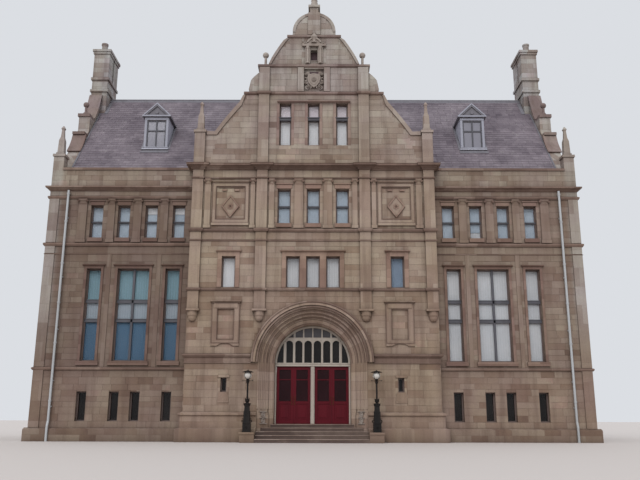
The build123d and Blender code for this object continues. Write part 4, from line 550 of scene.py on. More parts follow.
@dataclass(frozen=True)
class Paint(Finish):
    """Paint, lead or cast metal with a little grime and wear."""

    colour: Screen
    worn: Screen
    roughness: float = 0.5
    wear: float = 0.4
    metallic: float = 0.0
    coat: float = 0.0
    shine: float = 0.5
    grain: ClassVar[float] = 40.0

    def surface(self, graph: Graph, place: Socket, worn: Sequence[Socket]) -> Surface:
        """The paint, streaked with what is under it.

        Args:
            graph: The material's graph.
            place: The point on the piece.
            worn: The weathering's outputs.

        Returns:
            The shader's inputs, and the bump's height, strength and distance.
        """
        share = graph.times(worn["Streak"], self.wear)
        colour = graph.blend(share, tone(*self.colour), tone(*self.worn))
        colour = graph.grained(colour, worn["Grain"], 0.93, 1.05)
        rough = graph.ranged(worn["Patch"], 0.0, 1.0, self.roughness * 0.85, self.roughness * 1.15)
        inputs = {"Base Color": colour, "Roughness": rough, "Metallic": self.metallic,
                  "Coat Weight": self.coat, "Specular IOR Level": self.shine}
        return inputs, worn["Grain"], 0.15, 0.002


@dataclass(frozen=True)
class Blind(Finish):
    """A fabric blind with upright slats."""

    colour: Screen
    foot: Screen
    line: float = 0.18
    bands: Stops | None = None
    grain: ClassVar[float] = 60.0

    def surface(self, graph: Graph, place: Socket, worn: Sequence[Socket]) -> Surface:
        """The cloth in its tones, or in bands by height, with a thin line at each slat.

        Args:
            graph: The material's graph.
            place: The point on the piece.
            worn: The weathering's outputs.

        Returns:
            The shader's inputs, and the bump's height, strength and distance.
        """
        colour = graph.blend(worn["Patch"], tone(*self.colour), tone(*self.foot))
        if self.bands:
            colour = graph.ramp(graph.times(graph.axes(place)["Z"], 0.05), self.bands)
        shade = graph.times(graph.group(SLATS, Place=place, Rate=8.5)["Line"], self.line)
        colour = graph.blend(shade, colour, tone(86, 90, 96))
        return {"Base Color": colour, "Roughness": 0.85}, worn["Grain"], 0.05, 0.002


@dataclass(frozen=True)
class Glass(Finish):
    """Old plate glass: clear over its blinds, and painted nearly black and nearly opaque over the slits
    and the fanlight, as painted shade of the dark rooms behind.
    """

    colour: Screen
    grain: ClassVar[float] = 3.0

    def surface(self, graph: Graph, place: Socket, worn: Sequence[Socket]) -> Surface:
        """The panes by place: slits and fanlight in painted shade, and the rest.

        Args:
            graph: The material's graph.
            place: The point on the piece.
            worn: The weathering's outputs.

        Returns:
            The shader's inputs, and the bump's height, strength and distance.
        """
        x, _, height = graph.axes(place)
        # Painted shade: the slits and the fanlight get a dark colour and a high alpha in place of the
        # gloom behind them.
        fan = graph.times(graph.ranged(graph.maths("ABSOLUTE", x), 1.85, 1.9, 1.0, 0.0),
                          graph.ranged(height, 5.5, 5.6, 1.0, 0.0))
        dark = graph.most(graph.ranged(height, 2.9, 2.95, 1.0, 0.0), fan)
        upper = graph.times(graph.ranged(height, 4.6, 4.9), fan)
        deep = graph.blend(upper, tone(19, 14, 12), tone(102, 98, 101))
        dusty = graph.times(worn["Patch"], 0.2)
        colour = graph.blend(dusty, tone(*self.colour), tone(160, 162, 162))
        deep = graph.blend(graph.times(dusty, 0.4), deep, tone(120, 112, 108))
        colour = graph.blend(dark, colour, deep)
        inputs = {"Base Color": colour, "Roughness": 0.06, "IOR": 1.45,
                  "Alpha": graph.ranged(dark, 0.0, 1.0, 0.12, 0.92), "Specular IOR Level": 0.2,
                  "Transmission Weight": 0.3}
        return inputs, worn["Grain"], 0.05, 0.004


@dataclass(frozen=True)
class DarkGlass(Finish):
    """Panes of the doors, painted dark as painted shade of the hall's gloom behind them."""

    colour: Screen
    grain: ClassVar[float] = 3.0

    def surface(self, graph: Graph, place: Socket, worn: Sequence[Socket]) -> Surface:
        """A pane painted dark as painted shade, with a little dust.

        Args:
            graph: The material's graph.
            place: The point on the piece.
            worn: The weathering's outputs.

        Returns:
            The shader's inputs, and the bump's height, strength and distance.
        """
        colour = graph.blend(graph.times(worn["Patch"], 0.5), tone(*self.colour), tone(50, 24, 28))
        inputs = {"Base Color": colour, "Roughness": 0.12, "IOR": 1.45, "Alpha": 0.94,
                  "Specular IOR Level": 0.12, "Transmission Weight": 0.1}
        return inputs, worn["Grain"], 0.04, 0.003


class Finishes(Enum):
    """Every finish of the building."""

    WALL = Stone("wall stone")
    FACING = Stone("facing stone", tinted=True)
    DRESSED = Stone("dressed stone", DRESSINGS, course=0.9, length=0.82, joint=0.3, recess_shade=0.35,
                    under=0.35)
    COURSE = Stone("moulded course stone", MOULDINGS, course=4.0, length=1.05, joint=0.3, recess_shade=0.45,
                   under=0.2, zoned=False)
    LEDGE = Stone("ledge stone", MOULDINGS, course=4.0, length=1.05, joint=0.3, under=0.2)
    # Dark stone for the painted shade in the recesses.
    RECESS_SHADE = Stone("painted recess shade stone", RECESS_SHADE_STOPS, course=9.0, length=9.0, joint=0.0, recess_shade=0.3, under=0.0,
                 zoned=False)
    ROSE = Stone("rosy dressing stone", ROSY, course=0.44, length=3.0, joint=0.3, recess_shade=0.3, under=0.3)
    CARVED = Stone("carved stone", PALE_CARVING, course=9.0, length=9.0, joint=0.0, recess_shade=0.3, under=0.0,
                   zoned=False, grime=0.25)
    ARCH = Stone("arch stone", ARCHES, course=0.42, radial=True, joint=0.4, recess_shade=0.3, under=0.0)
    STEP = StepStone("step stone")
    NOSING = Stone("step nosing stone", WORN, course=9.0, length=1.2, joint=0.4, recess_shade=0.3, under=0.0,
                   zoned=False)
    SLATE = Slate("roof slate")
    LEAD = Paint("sheet lead", (112, 109, 114), (90, 86, 90), 0.65, 0.5, shine=0.2)
    DORMER = Paint("dormer paint", (176, 176, 187), (136, 132, 139), 0.55, 0.35)
    TRIM = Paint("dormer trim paint", (148, 148, 158), (112, 108, 114), 0.55, 0.35)
    WHITE = Paint("white paint", (184, 174, 164), (126, 112, 102), 0.5, 0.35)
    CREAM = Paint("cream paint", (168, 157, 145), (112, 98, 88), 0.5, 0.35)
    SASH = Paint("sash paint", (96, 81, 76), (66, 56, 53), 0.55, shine=0.3)
    RAIL = Paint("rail paint", (82, 81, 86), (58, 54, 56), 0.55, shine=0.3)
    DOOR = Paint("door paint", (86, 16, 27), (54, 13, 20), 0.5, 0.35, shine=0.12)
    IRON = Paint("black iron", (22, 19, 18), (56, 46, 41), 0.5, 0.35, shine=0.2)
    BRASS = Paint("aged brass", (96, 76, 46), (60, 48, 32), 0.35, metallic=1.0)
    PIPE = Paint("pipe paint", (168, 169, 170), (124, 120, 115), 0.55)
    BOARDS = Paint("floor boards", (112, 92, 70), (80, 64, 48), 0.6, 0.3)
    WHITE_BLIND = Blind("white blind", (232, 230, 230), (220, 219, 220), 0.08)
    PALE_BLIND = Blind("pale blind", (212, 211, 211), (196, 196, 198), 0.2)
    BLUE_BLIND = Blind("blue blind", (114, 140, 154), (92, 118, 134), 0.35, PANES)
    DUSK_BLIND = Blind("dusk blind", (186, 196, 206), (164, 176, 188), 0.1)
    ROSE_BLIND = Blind("rosy blind", (240, 228, 232), (230, 218, 222), 0.05)
    DEEP_BLIND = Blind("deep blind", (140, 156, 174), (120, 136, 156), 0.05)
    PANE = Glass("window glass", (104, 114, 122))
    SKY_PANE = Paint("dormer glass", (128, 126, 134), (112, 110, 118), 0.15, 0.3)
    DOOR_PANE = DarkGlass("door glass", (36, 12, 16))
    OPAL = Paint("opal globe", (196, 190, 182), (160, 152, 144), 0.2, 0.3, coat=0.5)

    def look(self) -> Material:
        """The finish's material, built the first time it is asked for."""
        return bpy.data.materials.get(self.value.name) or self.value.material()


def at(x: float, y: float, z: float) -> Matrix:
    """A place at a point, with the building's own axes."""
    return Matrix.Translation((x, y, z))


def spun(degrees: float, axis: str = "Z") -> Matrix:
    """A turn about an axis."""
    return Matrix.Rotation(math.radians(degrees), 4, axis)


def facing_out(x: float, y: float, z: float, swing: float = 0.0) -> Matrix:
    """A place whose upright axis points out of the street front, swung about the vertical."""
    return at(x, y, z) @ spun(swing) @ spun(90, "X")


STREET = Matrix.Identity(4)
FRONT_PLANE = at(0.0, FRONT_Y, 0.0)
RIGHT_PLANE = at(END_X, 0.0, 0.0) @ spun(90)
LEFT_PLANE = at(-END_X, DEPTH, 0.0) @ spun(-90)
BACK_PLANE = at(0.0, DEPTH, 0.0) @ spun(180)


def dress(obj: bpy.types.Object, finish: Finishes) -> None:
    """Give a piece one finish all over.

    Args:
        obj: The piece.
        finish: The finish.
    """
    if not obj.data.materials:
        obj.data.materials.append(None)
    for slot in obj.material_slots:
        slot.material = finish.look()


def piece(name: str, mesh: bpy.types.Mesh, finish: Finishes, body: str = BODY) -> None:
    """Make a mesh a piece of the building.

    Args:
        name: The piece's name.
        mesh: Its mesh, in the building's frame.
        finish: What it is finished with.
        body: The body that it rides on.
    """
    obj = bpy.data.objects.new(name, mesh)
    bpy.context.scene.collection.objects.link(obj)
    dress(obj, finish)
    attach(obj, body)
    LOG.info("%s: %d faces", name, len(mesh.polygons))


class Shape:
    """One piece in the making: boxes, prisms, turned forms and arcs in one mesh."""

    def __init__(self) -> None:
        """Start with nothing."""
        self.bm = bmesh.new()

    def verts(self, points: Iterable[Point], place: Matrix) -> list[bmesh.types.BMVert]:
        """New vertices at points of a place."""
        return [self.bm.verts.new(place @ Vector(point)) for point in points]

    def bevel(self, edges: Iterable[bmesh.types.BMEdge], width: float) -> None:
        """Take the arris off edges, if a width is given.

        Args:
            edges: The edges.
            width: How far it is taken off.
        """
        if width:
            bmesh.ops.bevel(self.bm, geom=list(edges), offset=width, segments=1, profile=0.5,
                            affect="EDGES", material=-1)

    def box(self, x: Span, y: Span, z: Span, bevel: float = 0.0, place: Matrix = STREET) -> None:
        """Add a box between two values on each axis.

        Args:
            x, y, z: Its two values on each axis.
            bevel: How far its arrises are taken off.
            place: The axes that they are measured on.
        """
        spans = (x, y, z)
        centre = [(a + b) / 2 for a, b in spans]
        matrix = place @ at(*centre) @ Matrix.Diagonal((*(abs(b - a) for a, b in spans), 1.0))
        made = bmesh.ops.create_cube(self.bm, size=1.0, matrix=matrix)
        self.bevel({edge for vert in made["verts"] for edge in vert.link_edges}, bevel)

    def slab(self, x: float, half: float, y: Span, z: Span, bevel: float = 0.0,
             place: Matrix = STREET) -> None:
        """Add a box that reaches equally far to both sides of x."""
        self.box((x - half, x + half), y, z, bevel, place)

    def beads(self, x: float, half: float, z: Span, width: float, y: Span, bevel: float,
              lap: float = 0.0) -> None:
        """Add a raised bead round the outside of a rectangle.

        Args:
            x, half, z: The rectangle's middle, half width, foot and top.
            width: How wide the bead is.
            y: Its face and its back.
            bevel: How far its arrises are taken off.
            lap: How far its level runs reach into the upright ones.
        """
        foot, top = z
        for side in BOTH:
            self.slab(x + side * (half + width / 2), width / 2, y, (foot - width, top + width), bevel)
        for run in ((foot - width, foot), (top, top + width)):
            self.slab(x, half + lap, y, run, bevel)

    def prism(self, outline: Sequence[Span], front: float, back: float, bevel: float = 0.0,
              place: Matrix = STREET) -> None:
        """Extrude an outline of (x, z) points from one depth to another, and bevel its face.

        Args:
            outline: The points round the shape.
            front: The depth of its face.
            back: The depth of its back.
            bevel: How far the face's edges are taken off.
            place: The axes that the points are measured on.
        """
        face = self.bm.faces.new(self.verts([(x, back, z) for x, z in outline], place))
        made = bmesh.ops.extrude_face_region(self.bm, geom=[face])["geom"]
        fresh = [item for item in made if isinstance(item, bmesh.types.BMVert)]
        bmesh.ops.translate(self.bm, verts=fresh, vec=place.to_3x3() @ Vector((0.0, front - back, 0.0)))
        self.bevel(next(item for item in made if isinstance(item, bmesh.types.BMFace)).edges, bevel)

    def turned(self, outline: Sequence[Span], place: Matrix, steps: int = 16,
               wide: float = 1.0) -> None:
        """Spin (radius, height) points about a place's upright axis, with the radii multiplied.

        Args:
            outline: The points.
            place: Where the form stands.
            steps: How many sides it has.
            wide: What the radii are multiplied with.
        """
        before = set(self.bm.verts)
        verts = self.verts([(radius * wide, 0.0, height) for radius, height in outline], place)
        edges = [self.bm.edges.new(pair) for pair in zip(verts, verts[1:])]
        axis = place.to_3x3() @ Vector((0, 0, 1))
        bmesh.ops.spin(self.bm, geom=verts + edges, cent=place.translation, axis=axis, angle=math.tau,
                       steps=steps, use_merge=True)
        fresh = [vert for vert in self.bm.verts if vert not in before]
        bmesh.ops.remove_doubles(self.bm, verts=fresh, dist=1e-5)

    def arc(self, section: Sequence[Span], first: float, last: float, steps: int,
            place: Matrix) -> None:
        """Spin a closed section of (radius, depth) points about the axis that runs into the wall.

        Args:
            section: The section's points.
            first: The angle that it starts at, in degrees from the right.
            last: The angle that it ends at.
            steps: How many stretches the arc has.
            place: Where the arc's centre is.
        """
        across, rise = math.cos(math.radians(first)), math.sin(math.radians(first))
        points = [(radius * across, depth, radius * rise) for radius, depth in section]
        face = self.bm.faces.new(self.verts(points, place))
        bmesh.ops.spin(self.bm, geom=[face], cent=place.translation, steps=steps,
                       axis=place.to_3x3() @ Vector((0.0, -1.0, 0.0)), angle=math.radians(last - first))

    def finish(self, name: str, finish: Finishes, slot: str, body: str = BODY) -> None:
        """Make the mesh a piece of the building, its faces pointing outwards.

        Args:
            name: The piece's name.
            finish: What it is finished with.
            slot: The record's material slot; not used.
            body: The body that it rides on.
        """
        bmesh.ops.recalc_face_normals(self.bm, faces=self.bm.faces)
        mesh = bpy.data.meshes.new(name)
        self.bm.to_mesh(mesh)
        self.bm.free()
        piece(name, mesh, finish, body)


class Stamp:
    """Repeats one open-backed block with bevelled arrises in a single mesh, each with a tint."""

    def __init__(self, bevel: float = 0.003) -> None:
        """Make the block, one metre wide before its bevels, its face towards -Y.

        Args:
            bevel: How far the arrises of its face are taken off.
        """
        bm = bmesh.new()
        bmesh.ops.create_cube(bm, size=1.0)
        back = [face for face in bm.faces if face.normal.y > 0.9]
        bmesh.ops.delete(bm, geom=back, context="FACES_ONLY")
        front = [edge for edge in bm.edges if all(vert.co.y < 0 for vert in edge.verts)]
        bmesh.ops.bevel(bm, geom=front, offset=bevel, segments=1, profile=0.5, affect="EDGES",
                        material=-1)
        bm.verts.ensure_lookup_table()
        points = np.array([vert.co[:] for vert in bm.verts])
        self.signs = np.sign(points)
        self.offsets = points - self.signs * 0.5
        self.faces = [[vert.index for vert in face.verts] for face in bm.faces]
        self.points: list[np.ndarray] = []
        self.tints: list[float] = []
        bm.free()

    def add(self, size: Sequence[float], matrix: Matrix, tint: float) -> None:
        """Place one copy: stretched to a size, with its bevels kept, then moved.

        Args:
            size: The copy's size.
            matrix: Where it goes.
            tint: Its tone from 0 to 1.
        """
        shape = self.signs * (np.array(size) / 2) + self.offsets
        turn = np.array(matrix.to_3x3())
        self.points.append(shape @ turn.T + np.array(matrix.translation))
        self.tints.append(min(1.0, max(0.0, tint)))

    def finish(self, name: str, finish: Finishes, slot: str) -> None:
        """Join all copies into one piece of the building.

        Args:
            name: The piece's name.
            finish: What it is finished with.
            slot: The record's material slot; not used.
        """
        count = len(self.signs)
        starts = range(0, len(self.points) * count, count)
        faces = [[start + index for index in face] for start in starts for face in self.faces]
        mesh = bpy.data.meshes.new(name)
        mesh.from_pydata(np.concatenate(self.points).tolist(), [], faces)
        layer = mesh.color_attributes.new(name="tint", type="FLOAT_COLOR", domain="POINT")
        values = np.repeat(np.array(self.tints), count)
        colours = np.stack([values, values, values, np.ones_like(values)], 1)
        layer.data.foreach_set("color", colours.ravel())
        mesh.update()
        piece(name, mesh, finish)


@dataclass
class StoneField:
    """A stretch of wall between two levels, and what its facing stones leave free."""

    left: float
    right: float
    foot: float
    top: float
    holes: list[Rect] = field(default_factory=list)
    limit: Callable[[float], Span] | None = None

    def spans(self, low: float, high: float) -> list[Span]:
        """The stretches from left to right that the stones of a course may fill.

        Args:
            low: The course's foot.
            high: The course's top.

        Returns:
            The stretches.
        """
        free = [(self.left, self.right)]
        if self.limit:
            first, second = self.limit(low), self.limit(high)
            free = [(max(self.left, first[0], second[0]), min(self.right, first[1], second[1]))]
        for x0, x1, z0, z1 in self.holes:
            if min(high, z1) - max(low, z0) >= 0.03:
                free = [part for a, b in free for part in ((a, min(b, x0)), (max(a, x1), b))
                        if part[0] < part[1]]
        return [(a, b) for a, b in free if b - a > 0.05]


@dataclass
class FacingStones:
    """Dressed stones laid in courses on a wall's face."""

    proud: float = 0.009
    gap: float = 0.007
    course: float = 0.3
    shortest: float = 0.36
    longest: float = 0.95

    def lay(self, stamp: Stamp, fields: Iterable[StoneField], place: Matrix,
            chance: random.Random) -> None:
        """Lay the stones of several fields on one wall.

        Args:
            stamp: Where the stones go.
            fields: The stretches of wall.
            place: The wall's axes: along it, inwards and up.
            chance: Gives the random lengths and tones.
        """
        for stretch in fields:
            rows = max(1, round((stretch.top - stretch.foot) / self.course))
            weights = [chance.uniform(0.8, 1.2) for _ in range(rows)]
            scale = (stretch.top - stretch.foot) / sum(weights)
            low = stretch.foot
            for weight in weights:
                high = low + weight * scale
                for span in stretch.spans(low, high):
                    self.fill(stamp, span, (low, high), place, chance)
                low = high

    def fill(self, stamp: Stamp, span: Span, rise: Span, place: Matrix, chance: random.Random) -> None:
        """Fill one free stretch of a course with stones.

        Args:
            stamp: Where the stones go.
            span: The stretch's two ends.
            rise: The course's foot and top.
            place: The wall's axes.
            chance: Gives the random lengths and tones.
        """
        x, end = span
        low, high = rise
        while end - x > 0.02:
            length = chance.uniform(self.shortest, self.longest)
            if end - x - length < self.shortest * 0.7:
                length = end - x
            size = (length - self.gap, self.proud + 0.004, high - low - self.gap)
            lift = chance.uniform(-0.002, 0.003)
            centre = at(x + length / 2, -self.proud / 2 + 0.002 - lift, (low + high) / 2)
            stamp.add(size, place @ centre, chance.gauss(0.54, 0.23))
            x += length


@dataclass(frozen=True)
class Light:
    """A window hole on its wall: middle, sill, width, height and the stones round it."""

    u: float
    sill: float
    width: float
    height: float
    dressing: float = 0.0
    hood: float = 0.0
    ledge: float = 0.0

    def rect(self) -> Rect:
        """What the facing stones leave free for it.

        Returns:
            Its left, right, foot and top.
        """
        half = self.width / 2 + self.dressing
        top = self.sill + self.height + (self.dressing + self.hood)
        return (self.u - half, self.u + half, self.sill - self.ledge, top)

    def mirrored(self) -> "Light":
        """The same window on the other side of the middle."""
        return replace(self, u=-self.u)


def plain_lights(places: Iterable[float]) -> list[Light]:
    """The three storeys of windows on a side or back wall."""
    sizes = ((0.89, 0.45, 1.34), (3.62, 0.69, 4.41), (9.55, 0.6, 1.64))
    return [Light(u, *size) for u in places for size in sizes]


SLITS = [Light(u, 0.89, 0.45, 1.34) for u in (6.75, 8.21, 9.18, 10.68)]
TALLS = [Light(u, 3.62, width, 4.41, dressing=0.12, hood=0.1, ledge=0.19)
         for u, width in ((6.75, 0.69), (8.63, 1.53), (10.54, 0.69))]
TOPS = [Light(u, 9.55, 0.6, 1.64, ledge=0.19) for u in (6.59, 7.94, 9.29, 10.62)]
SIDES = plain_lights((2.2, 4.0, 7.0, 8.8))
BACKS = plain_lights([2.6 * i for i in range(-4, 5)])
MIDDLES = [Light(u, 7.01, 0.65, 1.51) for u in (-4.0, -0.95, 0.0, 0.95, 4.0)]
FRONT_TOPS = [Light(u, 10.13, 0.64, 1.74) for u in (-1.41, 0.0, 1.41)]
GABLES = [Light(u, 14.14, 0.58, 2.22) for u in (-1.41, 0.0, 1.41)]
WING_PILASTERS = ((7.31, 0.38), (8.615, 0.38), (9.905, 0.34), (11.32, 0.42))
FRONT_PILASTERS = ((0.705, 0.42), (2.01, 0.25), (2.93, 0.21), (5.11, 0.28))
WING_BANDS = ((0.61, 3.2), (3.35, 8.72), (8.78, 9.13), (9.32, 11.52), (11.69, 11.92), (12.21, 13.03))
SKEW = ((13.03, 0.6), (14.69, 1.85), (15.25, 2.25), (15.92, 2.52), (16.07, 2.7), (16.45, 2.99),
        (17.2, 2.99), (17.37, 3.7), (17.98, 4.11), (18.36, 4.29), (18.72, 4.44), (19.15, 4.6))
GABLE = ((12.8, 5.35), (14.67, 4.79), (15.4, 4.25), (16.25, 3.61), (16.81, 3.43), (17.01, 3.2),
         (17.63, 3.1), (18.09, 2.7), (18.32, 2.7), (18.52, 2.15), (19.2, 1.75), (19.97, 1.3),
         (20.17, 1.08), (20.4, 1.08), (20.9, 0.93), (21.2, 0.68), (21.4, 0.3))


def skew_limit(height: float) -> Span:
    """How far a side gable reaches at a height, measured along the side wall."""
    near = float(np.interp(height, *zip(*SKEW))) + 0.05
    return near, DEPTH - near


def gable_limit(height: float) -> Span:
    """How far the street gable reaches at a height."""
    half = float(np.interp(height, *zip(*GABLE))) - 0.05
    return -half, half


def mirrored(holes: Iterable[Rect]) -> list[Rect]:
    """Holes moved to the other side of the middle."""
    return [(-right, -left, foot, top) for left, right, foot, top in holes]


def middles(places: Iterable[Span], foot: float, top: float) -> list[Rect]:
    """Holes of one height at several (middle, width) places."""
    return [(u - width / 2, u + width / 2, foot, top) for u, width in places]


@dataclass
class Walls:
    """Facing stones on every wall."""

    stones: FacingStones = field(default_factory=FacingStones)

    def wing_fields(self) -> list[StoneField]:
        """The stretches of the right wing's street wall.

        Returns:
            The stretches with their holes.
        """
        holes = [light.rect() for light in SLITS + TALLS + TOPS]
        holes += middles(WING_PILASTERS, 9.32, 11.52)
        holes += middles(((7.43, 0.2), (9.835, 0.2)), 3.35, 8.72)
        return [StoneField(FRONT_X, 12.52 if top < 11.6 else 12.99, foot, top, holes)
                for foot, top in WING_BANDS]

    def front_fields(self) -> list[StoneField]:
        """The stretches of the frontispiece below its main cornice.

        Returns:
            The stretches with their holes.
        """
        right = [(2.23, 2.75, 5.42, 15.0), (5.35, 5.87, 5.42, 15.0), (3.4, 4.7, 4.28, 6.3),
                 (3.105, 4.895, 10.03, 12.27), (3.475, 4.525, 6.99, 8.72), (3.78, 4.32, 1.73, 2.96)]
        right += middles(FRONT_PILASTERS, 9.89, 12.37)
        holes = right + mirrored(right)
        holes += middles([(light.u, light.width) for light in FRONT_TOPS], 9.94, 11.87)
        holes += [(-1.475, 1.475, 6.99, 8.72), (-2.5, 2.5, 0.0, SPRING)]
        radius, rise, height = 2.86, 0.05, SPRING
        while height < SPRING + radius:
            half = math.sqrt(radius ** 2 - (height - SPRING) ** 2)
            holes.append((-half, half, height, height + rise))
            height += rise
        bands = ((1.33, 3.49), (3.93, 6.85), (6.99, 9.24), (9.33, 9.71), (9.89, 12.37), (12.46, 12.82))
        return [StoneField(-5.85, 5.85, foot, top, holes) for foot, top in bands]

    def gable_fields(self) -> list[StoneField]:
        """The stretches of the gable over the main cornice.

        Returns:
            The stretches with their holes.
        """
        strip = [(2.23, 2.75, 13.0, 18.32)]
        holes = [light.rect() for light in GABLES] + strip + mirrored(strip)
        holes += [(-0.83, 0.83, 17.01, 18.32), (-0.62, 0.62, 18.52, 19.97), (-0.32, 0.32, 20.17, 21.5)]
        bands = ((13.15, 13.93), (13.95, 16.81), (17.01, 18.32), (18.52, 19.97), (20.17, 21.2))
        return [StoneField(-5.35, 5.35, foot, top, holes, gable_limit) for foot, top in bands]

    def side_fields(self) -> list[StoneField]:
        """The stretches of a side wall, from street to back.

        Returns:
            The stretches with their holes.
        """
        holes = [light.rect() for light in SIDES]
        made = [StoneField(0.0, DEPTH, foot, top, holes) for foot, top in WING_BANDS[:-1]]
        near, far = EAVES_Y, DEPTH - EAVES_Y
        return made + [StoneField(near, far, 12.21, 13.03),
                       StoneField(near, far, 13.03, 18.5, [], skew_limit)]

    def build(self) -> None:
        """Lay the stones of all walls."""
        wing = self.wing_fields()
        other = [replace(f, left=-f.right, right=-f.left, holes=mirrored(f.holes)) for f in wing]
        holes = [light.rect() for light in BACKS]
        behind = [StoneField(-12.99, 12.99, foot, top, holes) for foot, top in WING_BANDS]
        sides = self.side_fields()
        jobs = (("right_wing", wing, STREET), ("left_wing", other, STREET),
                ("frontispiece", self.front_fields(), FRONT_PLANE),
                ("gable", self.gable_fields(), FRONT_PLANE), ("right_side", sides, RIGHT_PLANE),
                ("left_side", sides, LEFT_PLANE), ("back", behind, BACK_PLANE))
        for seed, (wall, fields, place) in enumerate(jobs, 11):
            stamp = Stamp()
            self.stones.lay(stamp, fields, place, random.Random(seed))
            stamp.finish(f"facing_{wall}", Finishes.FACING, "sandstone")


@dataclass
class SlateRoof:
    """Slates in lapped rows on the slopes."""

    exposure: float = 0.235
    width: float = 0.36
    thickness: float = 0.012
    lift: float = 0.012

    def slope(self, stamp: Stamp, foot: Vector, up: Vector, along: Vector, length: float,
              spans: Callable[[float], list[Span]], chance: random.Random) -> None:
        """Cover one slope, the tail of each slate a little proud of the row below.

        Args:
            stamp: Where the slates go.
            foot: A point on the foot of the slope.
            up: The direction up the slope.
            along: The direction along a row.
            length: The slope's length.
            spans: The stretches of a row at a distance up the slope.
            chance: Gives the random widths, leans and tones.
        """
        outward = along.cross(up).normalized()
        outward = -outward if outward.z < 0 else outward
        rows = int(length / self.exposure)
        exposure = length / rows
        tilt = math.atan2(self.thickness * 1.4, exposure * 1.5)
        turn = Matrix((along, -outward, up)).transposed()
        turn = turn @ Matrix.Rotation(-tilt if turn.determinant() > 0 else tilt, 3, "X")
        for row in range(rows):
            for start, end in spans((row + 0.5) * exposure):
                x = start - (row % 2) * self.width / 2
                while x < end - 0.02:
                    left = max(x, start)
                    right = min(x + self.width * chance.uniform(0.94, 1.06), end)
                    if right - left > 0.03:
                        rise = row * exposure + chance.uniform(-0.006, 0.006) + exposure * 0.58
                        middle = (foot + along * ((left + right) / 2) + up * rise
                                  + outward * (self.lift + self.thickness * 0.6))
                        spin = Matrix.Rotation(chance.uniform(-0.006, 0.006), 3, "Y")
                        size = (right - left - 0.005, self.thickness, exposure * 1.16)
                        place = at(*middle) @ (turn @ spin).to_4x4()
                        stamp.add(size, place, chance.gauss(0.5, 0.25))
                    x = right

    def main_span(self, front: bool) -> Callable[[float], list[Span]]:
        """The stretches of a row on the main roof, round dormers, chimneys and cross roof.

        Args:
            front: Whether it is the front slope.

        Returns:
            What gives a row's stretches.
        """

        def spans(rise: float) -> list[Span]:
            """Stretches at a distance up the slope.

            Args:
                rise: The distance.

            Returns:
                The stretches.
            """
            share = rise / MAIN_LENGTH
            height = EAVES_Z + share * (RIDGE_Z - EAVES_Z)
            depth = EAVES_Y + share * (RIDGE_Y - EAVES_Y)
            end = ROOF_X if depth < STACK_Y else STACK_X
            cross = CROSS_HALF * (CROSS_TOP - height) / (CROSS_TOP - CROSS_FOOT) + 0.03
            cheek = 0.7 if height < 16.8 else 0.77 * (17.55 - height) / 0.71
            gaps = [(0.0, 2 * cross)] if front and cross > 0 else []
            if front and depth > 1.95 and cheek > 0:
                gaps += [(side * DORMER_X, 2 * cheek) for side in BOTH]
            return StoneField(-end, end, 0.0, 1.0, middles(gaps, 0.0, 1.0)).spans(0.0, 1.0)

        return spans

    def cross_span(self, rise: float) -> list[Span]:
        """The stretch of a row on the cross roof, from the gable to the main slope.

        Args:
            rise: The row's distance up the slope.

        Returns:
            The one stretch.
        """
        height = CROSS_FOOT + rise / CROSS_LENGTH * (CROSS_TOP - CROSS_FOOT)
        reach = EAVES_Y + (height - EAVES_Z) * (RIDGE_Y - EAVES_Y) / (RIDGE_Z - EAVES_Z)
        return [(0.02, max(0.1, reach + 0.04))]

    def build(self) -> None:
        """Cover the four slopes."""
        deep, high, cross = RIDGE_Y - EAVES_Y, RIDGE_Z - EAVES_Z, CROSS_TOP - CROSS_FOOT
        length = MAIN_LENGTH - 0.12
        jobs = {
            "front": [((0.0, EAVES_Y, EAVES_Z), (0.0, deep, high), (1, 0, 0), length,
                       self.main_span(True), 21)],
            "back": [((0.0, DEPTH - EAVES_Y, EAVES_Z), (0.0, -deep, high), (-1, 0, 0), length,
                      self.main_span(False), 22)],
            "cross": [((side * CROSS_HALF, 0.0, CROSS_FOOT), (-side * CROSS_HALF, 0.0, cross),
                       (0, 1, 0), CROSS_LENGTH - 0.05, self.cross_span, 23 + side) for side in BOTH],
        }
        for name, slopes in jobs.items():
            stamp = Stamp()
            for foot, up, along, length, spans, seed in slopes:
                self.slope(stamp, Vector(foot), Vector(up).normalized(), Vector(along), length,
                           spans, random.Random(seed))
            stamp.finish(f"slates_{name}", Finishes.SLATE, "slate")


